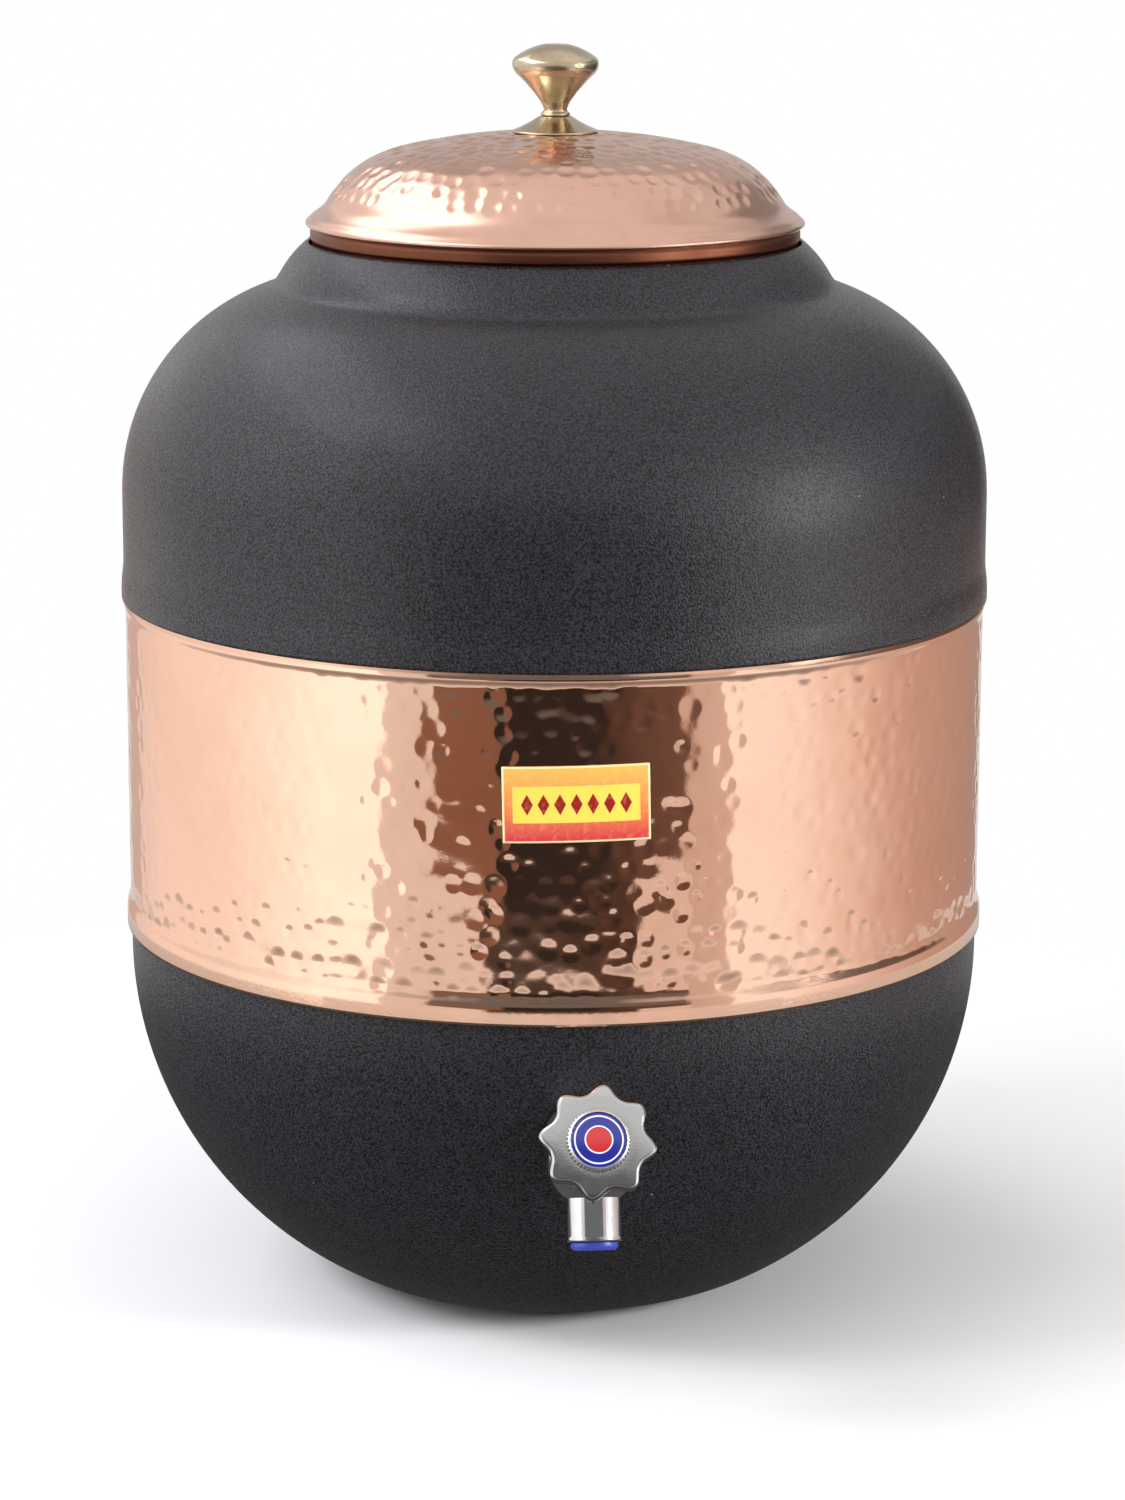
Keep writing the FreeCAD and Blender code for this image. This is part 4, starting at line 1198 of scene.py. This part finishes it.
@dataclass
class Tap:
    """Screw-down tap: cast body, star wheel, cap and nozzle.

    Attributes:
        wall_r: Where the shank's axis meets the bowl, from the pot's axis.
        wall_lean: How far the wall leans there.
        rise: How far the barrel points up.
        spout_lean: How far the spout points forward.
        first_lobe: The turn of the wheel's first lobe.
        wheel_back: The height of the wheel's back along the barrel.
        wheel_face: The height of its face.
    """

    wall_r: float = 103.984
    wall_z: float = 62.9
    wall_lean: float = 14.134
    globe_y: float = -120.429
    globe_z: float = 63.067
    rise: float = 30.0
    spout_lean: float = 20.0
    globe_r: float = 11.0
    globe_wall: float = 1.2
    shank_r: float = 6.0
    sides: int = 96
    star_sides: int = 384
    lobes: int = 8
    lobe_r: float = 13.5
    valley_r: float = 11.15
    first_lobe: float = -8.0
    wheel_back: float = 13.6
    wheel_face: float = 18.78
    bore_r: float = 2.97
    teeth: int = 48

    def build(self) -> None:
        """Build the visible pieces of the tap."""
        self.body()
        self.nozzle()
        self.wheel()
        self.ring()
        self.disc()

    def body(self) -> None:
        """Cast body: globe, collar, spout, neck with its wall flange, and shank."""
        step, inner_r = 0.25, self.globe_r - self.globe_wall
        outside = [(0.0, -self.globe_r)] + arc((0.0, -self.globe_r), (8.0, 7.55), self.globe_r)
        inside = [(0.0, -inner_r)] + arc((0.0, -inner_r), (7.2, 6.65), inner_r)
        collar: list[Point] = [(7.8, 3.9), (9.8, 3.9), (9.8, 6.9), (9.2, 7.5), (7.8, 7.5), (7.8, 3.9)]
        spout: list[Point] = [(4.9, 8.2), (6.35, 8.2), (6.35, 18.3), (6.5, 18.55), (6.5, 18.9), (6.4, 19.0),
                              (5.0, 19.0), (4.9, 18.6), (4.9, 8.2)]
        neck: list[Point] = [(0.0, 1.0), (9.4, 2.0), (9.4, 3.7), (9.0, 4.0), (7.2, 4.4), (6.6, 5.4),
                             (6.6, 8.4), (0.0, 8.4)]
        shank: list[Point] = [(0.0, -11.2), (self.shank_r, -11.2), (self.shank_r, 3.0), (0.0, 3.0)]
        parts = [turn_piece(name, line, self.sides, axle, closed) for name, line, axle, closed in (
            ("globe", even(outside + inside[::-1], step), Axle.BARREL, False),
            ("collar", soft_loop(collar, 0.6, step), Axle.BARREL, True),
            ("spout", soft_loop(spout, 0.5, step), Axle.SPOUT, True),
            ("neck", soften(even(neck, step), 0.6, step), Axle.SHANK, False),
            ("shank", even(shank, 0.5), Axle.SHANK, False))]
        finish_piece(join("tap_body_cast", parts), Finish.CHROME, Rider.POT, "tap_body")

    def nozzle(self) -> None:
        """Blue insert with its bevelled collar below the spout."""
        outline = [(4.0, 9.0), (4.8, 9.0), (4.8, 19.05), (5.5, 19.05), (5.5, 20.2), (4.85, 20.9),
                   (4.0, 20.9), (4.0, 9.0)]
        nozzle = turn_piece("spout_nozzle_insert", soft_loop(outline, 0.2, 0.15), self.sides, Axle.SPOUT)
        finish_piece(nozzle, Finish.BLUE_PLASTIC, Rider.POT, "spout_nozzle")

    def star(self, inset: float) -> np.ndarray:
        """Return the wheel's outline.

        Args:
            inset: How far inside the wheel's edge it runs.

        Returns:
            One row for each point, in the wheel's plane.
        """
        lobe = 0.5 + 0.5 * np.cos(self.lobes * (angles_of(self.star_sides) - math.radians(self.first_lobe)))
        radius = self.valley_r + (self.lobe_r - self.valley_r) * lobe ** 1.3
        points = radius[:, None] * circle(self.star_sides)
        along = np.roll(points, -1, axis=0) - np.roll(points, 1, axis=0)
        along /= np.linalg.norm(along, axis=1, keepdims=True)
        return points - inset * np.stack([along[:, 1], -along[:, 0]], axis=1)

    def face_height(self, plan: np.ndarray) -> np.ndarray:
        """Return how high the wheel's crowned face stands at each point of a plan."""
        out = np.maximum(np.hypot(plan[:, 0], plan[:, 1]) - 7.0, 0.0) / 6.5
        return self.wheel_face - 0.9 * out ** 2

    def wheel(self) -> None:
        """Star wheel with eight lobes, a crowned face and rounded edges."""
        disc, back, recess, recess_r = circle(self.star_sides), self.wheel_back, 16.4, 5.2
        rings: list[tuple[np.ndarray, Any]] = [(disc * self.bore_r, back), (disc * 7.6, back)]
        rings += [(self.star(inset), back + rise) for inset, rise in (
            (1.9, 0.0), (1.3, 0.3), (0.5, 1.2), (0.1, 1.9), (0.0, 2.3))]
        for inset, below in ((0.0, 0.72), (0.03, 0.52), (0.12, 0.36), (0.24, 0.25), (0.38, 0.155),
                             (0.52, 0.075), (0.66, 0.02), (0.8, 0.0)):
            plan = self.star(inset)
            rings.append((plan, self.face_height(plan) - below))
        for share in np.linspace(0.1, 1.0, 10):
            plan = (1 - share) * self.star(0.8) + share * disc * 7.2
            rings.append((plan, self.face_height(plan)))
        rings += [(disc * radius, height) for radius, height in (
            (recess_r, self.wheel_face), (recess_r, recess), (self.bore_r, recess))]
        wheel = stack_rings("handwheel_star", rings, Axle.BARREL)
        finish_piece(wheel, Finish.WHEEL_CHROME, Rider.HANDLE, "handwheel")

    def ring(self) -> None:
        """Knurled ring of the wheel's cap, with the plug that holds it in the wheel."""
        count = self.teeth * 8
        tooth = 0.5 + 0.5 * np.cos(angles_of(count) * self.teeth)
        disc = circle(count)
        knurl = disc * (6.72 + 0.55 * np.clip(1.8 * tooth - 0.4, 0, 1))[:, None]
        plans = [(4.35, 17.6), (5.15, 17.6), (5.15, 18.65), (knurl * 0.99, 18.65), (knurl, 18.8),
                 (knurl, 19.75), (6.95, 19.95), (6.8, 20.2), (6.56, 20.42), (6.44, 20.5), (6.4, 20.3),
                 (6.4, 19.7), (0.02, 19.7), (0.02, 18.65), (4.35, 18.65)]
        rings = [(plan if isinstance(plan, np.ndarray) else disc * plan, height) for plan, height in plans]
        ring = stack_rings("index_ring_knurled", rings, Axle.BARREL)
        finish_piece(ring, Finish.RING_CHROME, Rider.HANDLE, "index_ring")

    def disc(self) -> None:
        """Domed blue disc inside the ring, with its own flat coordinates."""
        outline = [(0.0, 19.75), (6.35, 19.75), (6.35, 20.1), (6.2, 20.3)]
        outline += arc(outline[-1], (0.0, 20.65), 55.0)
        disc = turn_piece("index_disc_dome", soften(even(outline, 0.15), 0.2, 0.15), self.sides, Axle.BARREL,
                          closed=False)
        layer = disc.data.uv_layers.new(name="face")
        places = np.array([disc.data.vertices[loop.vertex_index].co for loop in disc.data.loops]) / MM
        flat = 0.5 + along_axle(Axle.BARREL, places)[:, :2] / IndexPrint.sheet_w
        layer.data.foreach_set("uv", flat.ravel())
        finish_piece(disc, Finish.INDEX, Rider.HANDLE, "index_disc")


class Fittings:
    """The solids that stay as they are and only get their finish."""

    dressed = {
        Finish.SOLDER: ("upper_seam_solder", "lower_seam_solder"),
        Finish.STEEL: ("knob_screw", "knob_washer", "shank_washer", "handwheel_screw"),
        Finish.RUBBER: ("outer_gasket", "inner_gasket", "valve_washer"),
        Finish.RAW_BRASS: ("shank_nut", "tap_spindle", "valve_jumper", "jumper_nut"),
        Finish.CHROME: ("tap_bonnet", "gland_nut"),
        Finish.PACKING: ("gland_packing",),
    }

    def build(self) -> None:
        """Give each solid its material."""
        for finish, nodes in self.dressed.items():
            for node in nodes:
                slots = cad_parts[node].data.materials
                for index in range(len(slots)):
                    slots[index] = finish.material()
                log.info("%s: dressed", node)


# ---- Stage ----


@dataclass
class Cards:
    """The round wall of pale and dark cards that only mirrors see.

    Each stop holds an angle on the band from the middle of its front, with the level and the warmth of
    the light that the band mirrors there.

    Attributes:
        radius: The wall's radius.
        height: The wall's height.
        front: The azimuth that its middle faces.
        band_r: The radius of the band that mirrors it.
        eye_away: How far the camera stands from the pot's axis.
        stops: The stops of the wall itself.
        low_stops: The stops of its foot, in the middle.
        high_levels: The levels of its upper part, by angle.
    """

    radius: float = 420.0
    height: float = 520.0
    front: float = -94.4
    band_r: float = 107.0
    eye_away: float = 1093.0
    edge: float = 78.0
    columns: int = 625
    stops: tuple[tuple[float, float, float], ...] = (
        (-78, 0.62, 0.45), (-71.5, 0.66, 0.4), (-70.5, 0.84, 0.2), (-62, 0.98, 0.15), (-46, 1.04, 0),
        (-36, 1.25, 0), (-30, 1.42, 0), (-22.0, 1.42, 0), (-21.6, 0.83, 0), (-15.8, 0.80, 0.05),
        (-15.3, 0.27, 1), (-6.4, 0.25, 1), (-5.9, 0.03, 0.3), (5, 0.035, 0.4), (6.5, 0.07, 0.8),
        (11, 0.13, 0.85), (16.6, 0.17, 0.85), (17.1, 0.64, 0.3), (22.4, 0.70, 0.25), (22.9, 1.12, 0),
        (30, 1.06, 0), (40, 0.90, 0.2), (47, 0.71, 0.35), (54, 0.59, 0.5), (70, 0.46, 0.55),
        (78, 0.42, 0.55))
    low_stops: tuple[tuple[float, float, float], ...] = (
        (-8.6, 0.80, 0.05), (-8.1, 0.16, 0.9), (-7.5, 0.07, 0.5), (9.8, 0.08, 0.8), (10.3, 0.10, 0.8),
        (10.8, 0.76, 0.15))
    high_levels: tuple[Point, ...] = (
        (-45, 1.0), (-30, 1.0), (-18, 0.5), (-9, 0.18), (0, 0.14), (8, 0.18), (12, 0.6), (18, 0.8),
        (30, 0.7), (45, 0.25), (60, 0.1))

    def turn(self, seen: float) -> float:
        """Work out which place on the wall the band mirrors.

        Args:
            seen: An angle on the band, from the middle of its front.

        Returns:
            The angle on the wall, from its own middle.
        """
        lean = math.degrees(math.atan2(self.band_r * math.sin(math.radians(seen)),
                                       self.eye_away - self.band_r * math.cos(math.radians(seen))))
        away = 2 * seen + lean
        sine = self.band_r / self.radius * math.sin(math.radians(away - seen))
        return away - math.degrees(math.asin(sine))

    def build(self) -> None:
        """Add the wall, which glows in its tones and casts no shadow."""
        places = np.linspace(-self.edge, self.edge, self.columns)
        turns = np.radians(self.front + np.array([self.turn(seen) for seen in places]))
        heights = np.concatenate([np.arange(1.0, 130.0, 3.0), np.arange(130.0, self.height + 1, 15.0)])
        points = np.array([(self.radius * math.cos(a), self.radius * math.sin(a), z)
                           for z in heights for a in turns])
        wide = len(turns)
        faces = [(row * wide + k, (row + 1) * wide + k, (row + 1) * wide + k + 1, row * wide + k + 1)
                 for row in range(len(heights) - 1) for k in range(wide - 1)]
        wall = add_object("card_wall", points, faces)
        tones = np.array([(*self.tone(seen, z), 1.0) for z in heights for seen in places])
        layer = wall.data.color_attributes.new("tone", "FLOAT_COLOR", "POINT")
        layer.data.foreach_set("color", tones.ravel())
        shader = Shader(bpy.data.materials.new("cards"))
        tone = shader.node("ShaderNodeAttribute", attribute_name="tone").outputs["Color"]
        wall.data.materials.append(shader.output(shader.node("ShaderNodeEmission", {"Color": tone})))
        wall.visible_camera = wall.visible_diffuse = wall.visible_transmission = wall.visible_shadow = False

    def tone(self, seen: float, height: float) -> Colour:
        """Return the wall's colour at a height, where the band mirrors it at a given angle.

        Args:
            seen: The angle on the band, from the middle of its front.
            height: The height on the wall.

        Returns:
            The colour, which is warm where it is dark.
        """
        foot = 36.0 + 2.6 * max(abs(seen) - 9.0, 0.0)
        in_foot = height < foot and -15.8 < seen < 17.1
        level, warmth = self.between(self.low_stops if in_foot else self.stops, seen)
        if height < 9.5 and abs(seen) < 30:
            level, warmth = 0.85, 0.1
        above = self.share(height, 105.0, 30.0)
        if -15.3 < seen < 16.6:
            level += (0.17 - level) * above
            warmth *= 1 - above
        level *= 1 - self.share(height, 112.0, 25.0) * float(
            np.interp(seen, (-38, -26, 24, 34), (0.12, 0.0, 0.0, 0.78)))
        rise = self.share(height, 200.0, 70.0)
        rise *= rise * (3 - 2 * rise)
        level += (float(np.interp(seen, *zip(*self.high_levels))) - level) * rise
        top = self.share(height, 285.0, 50.0)
        level += (0.88 - level) * top * float(np.interp(seen, (-40, -22, 30, 50), (0.0, 1.0, 1.0, 0.3)))
        warmth *= 1 - rise
        return (level, level * (1 - 0.46 * warmth), level * (1 - 0.63 * warmth))

    def share(self, height: float, start: float, length: float) -> float:
        """Return how much of a fade that starts at a height and has a length lies below."""
        return min(max((height - start) / length, 0.0), 1.0)

    def between(self, stops: Sequence[tuple[float, float, float]], seen: float) -> Point:
        """Return the level and the warmth at an angle, between the stops on both sides of it."""
        places, levels, warmths = zip(*stops)
        return float(np.interp(seen, places, levels)), float(np.interp(seen, places, warmths))


@dataclass
class Studio:
    """Camera, floor, world and lamps.

    Attributes:
        eye: Where the camera stands.
        pitch: How far it looks down.
        heading: Its turn about the pot's axis.
        roll: Its turn about its own axis.
        lens: Its focal length on the sensor's width.
        lamps: Each lamp's name, place, size, power in watts and colour.
        aim: What the lamps face, in metres.
    """

    eye: tuple[float, float, float] = (-81.7, -1089.8, 377.2)
    pitch: float = 12.63
    heading: float = -4.4
    roll: float = 0.157
    lens: float = 106.42
    sensor: float = 36.0
    lamps: tuple[tuple[str, tuple[float, float, float], Point, float, Colour], ...] = (
        ("left_softbox", (-1300.0, 150.0, 700.0), (3000.0, 2300.0), 44.0, (0.94, 0.93, 1.0)),
        ("right_softbox", (858.0, -437.0, 335.0), (160.0, 280.0), 9.5, (1.0, 0.97, 0.98)),
        ("front_left_softbox", (-937.0, -222.0, 730.0), (360.0, 420.0), 7.0, (0.97, 0.97, 1.0)),
        ("top_softbox", (0.0, 0.0, 1800.0), (2200.0, 2200.0), 3.5, WHITE))
    aim: tuple[float, float, float] = (0.0, 0.0, 0.15)

    def build(self) -> None:
        """Set the whole stage."""
        self.camera()
        self.world()
        self.floor()
        Cards().build()
        for lamp in self.lamps:
            self.lamp(*lamp)
        bpy.context.scene.view_settings.view_transform = "Standard"

    def camera(self) -> None:
        """Add the camera at the photograph's own viewpoint."""
        data = bpy.data.cameras.new("camera")
        data.sensor_width = self.sensor
        data.lens = self.lens
        data.clip_start = 0.01
        data.clip_end = 50.0
        camera = link_object("camera", data)
        turn = (Matrix.Rotation(math.radians(self.heading), 4, "Z")
                @ Matrix.Rotation(math.radians(90.0 - self.pitch), 4, "X")
                @ Matrix.Rotation(math.radians(self.roll), 4, "Z"))
        camera.matrix_world = Matrix.Translation(Vector(self.eye) * MM) @ turn
        bpy.context.scene.camera = camera

    def world(self) -> None:
        """Light the pot evenly, with a white background for the camera."""
        world = bpy.data.worlds.new("studio")
        bpy.context.scene.world = world
        sky = Shader(world)
        ray = sky.node("ShaderNodeLightPath").outputs
        way = sky.node("ShaderNodeSeparateXYZ", {"Vector": sky.coordinates["Generated"]}).outputs
        mirrored = sky.math("MULTIPLY", sky.span(way["Z"], 0.3, 0.85, 1.05, 0.78),
                            sky.span(way["Y"], 0.35, 0.8, 1.0, 0.6))
        level = sky.span(ray["Is Glossy Ray"], 0.0, 1.0, 0.36, mirrored)
        strength = sky.span(ray["Is Camera Ray"], 0.0, 1.0, level, 1.0)
        light = sky.node("ShaderNodeBackground", {"Color": WHITE, "Strength": strength})
        sky.node("ShaderNodeOutputWorld", {"Surface": light.outputs[0]})

    def floor(self) -> None:
        """Add a pale round floor that fades into the background and keeps the pot's shadow, with a painted
        shade near the pot where mirrors see it.
        """
        sides, radii = 96, (0.0, 80.0, 200.0, 500.0, 1200.0, 2600.0)
        points = np.concatenate([np.column_stack([r * circle(sides), np.zeros(sides)]) for r in radii])
        floor = add_object("floor", points, ring_faces(len(radii), sides, False))
        weld_poles(floor)
        shader = Shader(bpy.data.materials.new("pale_floor"))
        ray = shader.node("ShaderNodeLightPath").outputs
        away = shader.node("ShaderNodeVectorMath", {0: shader.place}, operation="LENGTH").outputs["Value"]
        plain = shader.node("ShaderNodeBsdfDiffuse", {"Color": (0.86, 0.86, 0.86)})
        # Mirrors see the floor as a glow: dark near the pot, a painted shade round its foot, and pale
        # farther out.
        dim = shader.node("ShaderNodeEmission", {"Color": shader.blend(
            shader.span(away, 0.25, 0.42, 0.0, 1.0), (0.10, 0.094, 0.09), (0.74, 0.73, 0.72))})
        white = shader.node("ShaderNodeEmission", {"Color": WHITE})
        mirrored = shader.node("ShaderNodeMixShader", {0: ray["Is Glossy Ray"], 1: plain.outputs[0],
                                                       2: dim.outputs[0]})
        seen = shader.math("MULTIPLY", ray["Is Camera Ray"], shader.span(away, 0.12, 0.36, 0.0, 1.0))
        floor.data.materials.append(shader.output(shader.node(
            "ShaderNodeMixShader", {0: seen, 1: mirrored.outputs[0], 2: white.outputs[0]})))

    def lamp(self, name: str, place: tuple[float, float, float], size: Point, power: float,
             tint: Colour) -> None:
        """Add a soft rectangular lamp that faces the pot.

        Args:
            name: The lamp's name.
            place: Where it stands.
            size: Its width and height.
            power: Its power in watts.
            tint: Its colour.
        """
        data = bpy.data.lights.new(name, "AREA")
        data.shape = "RECTANGLE"
        data.size, data.size_y = size[0] * MM, size[1] * MM
        data.energy = power
        data.color = tint
        lamp = link_object(name, data)
        lamp.location = Vector(place) * MM
        lamp.rotation_euler = (Vector(self.aim) - lamp.location).to_track_quat("-Z", "Y").to_euler()


def main() -> None:
    """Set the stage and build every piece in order."""
    logging.basicConfig(level=logging.INFO, format="%(name)s %(message)s")
    for assembly in (Studio(), Pot(), Label(), Lid(), Tap(), Fittings()):
        assembly.build()


if __name__ == "__main__":
    main()
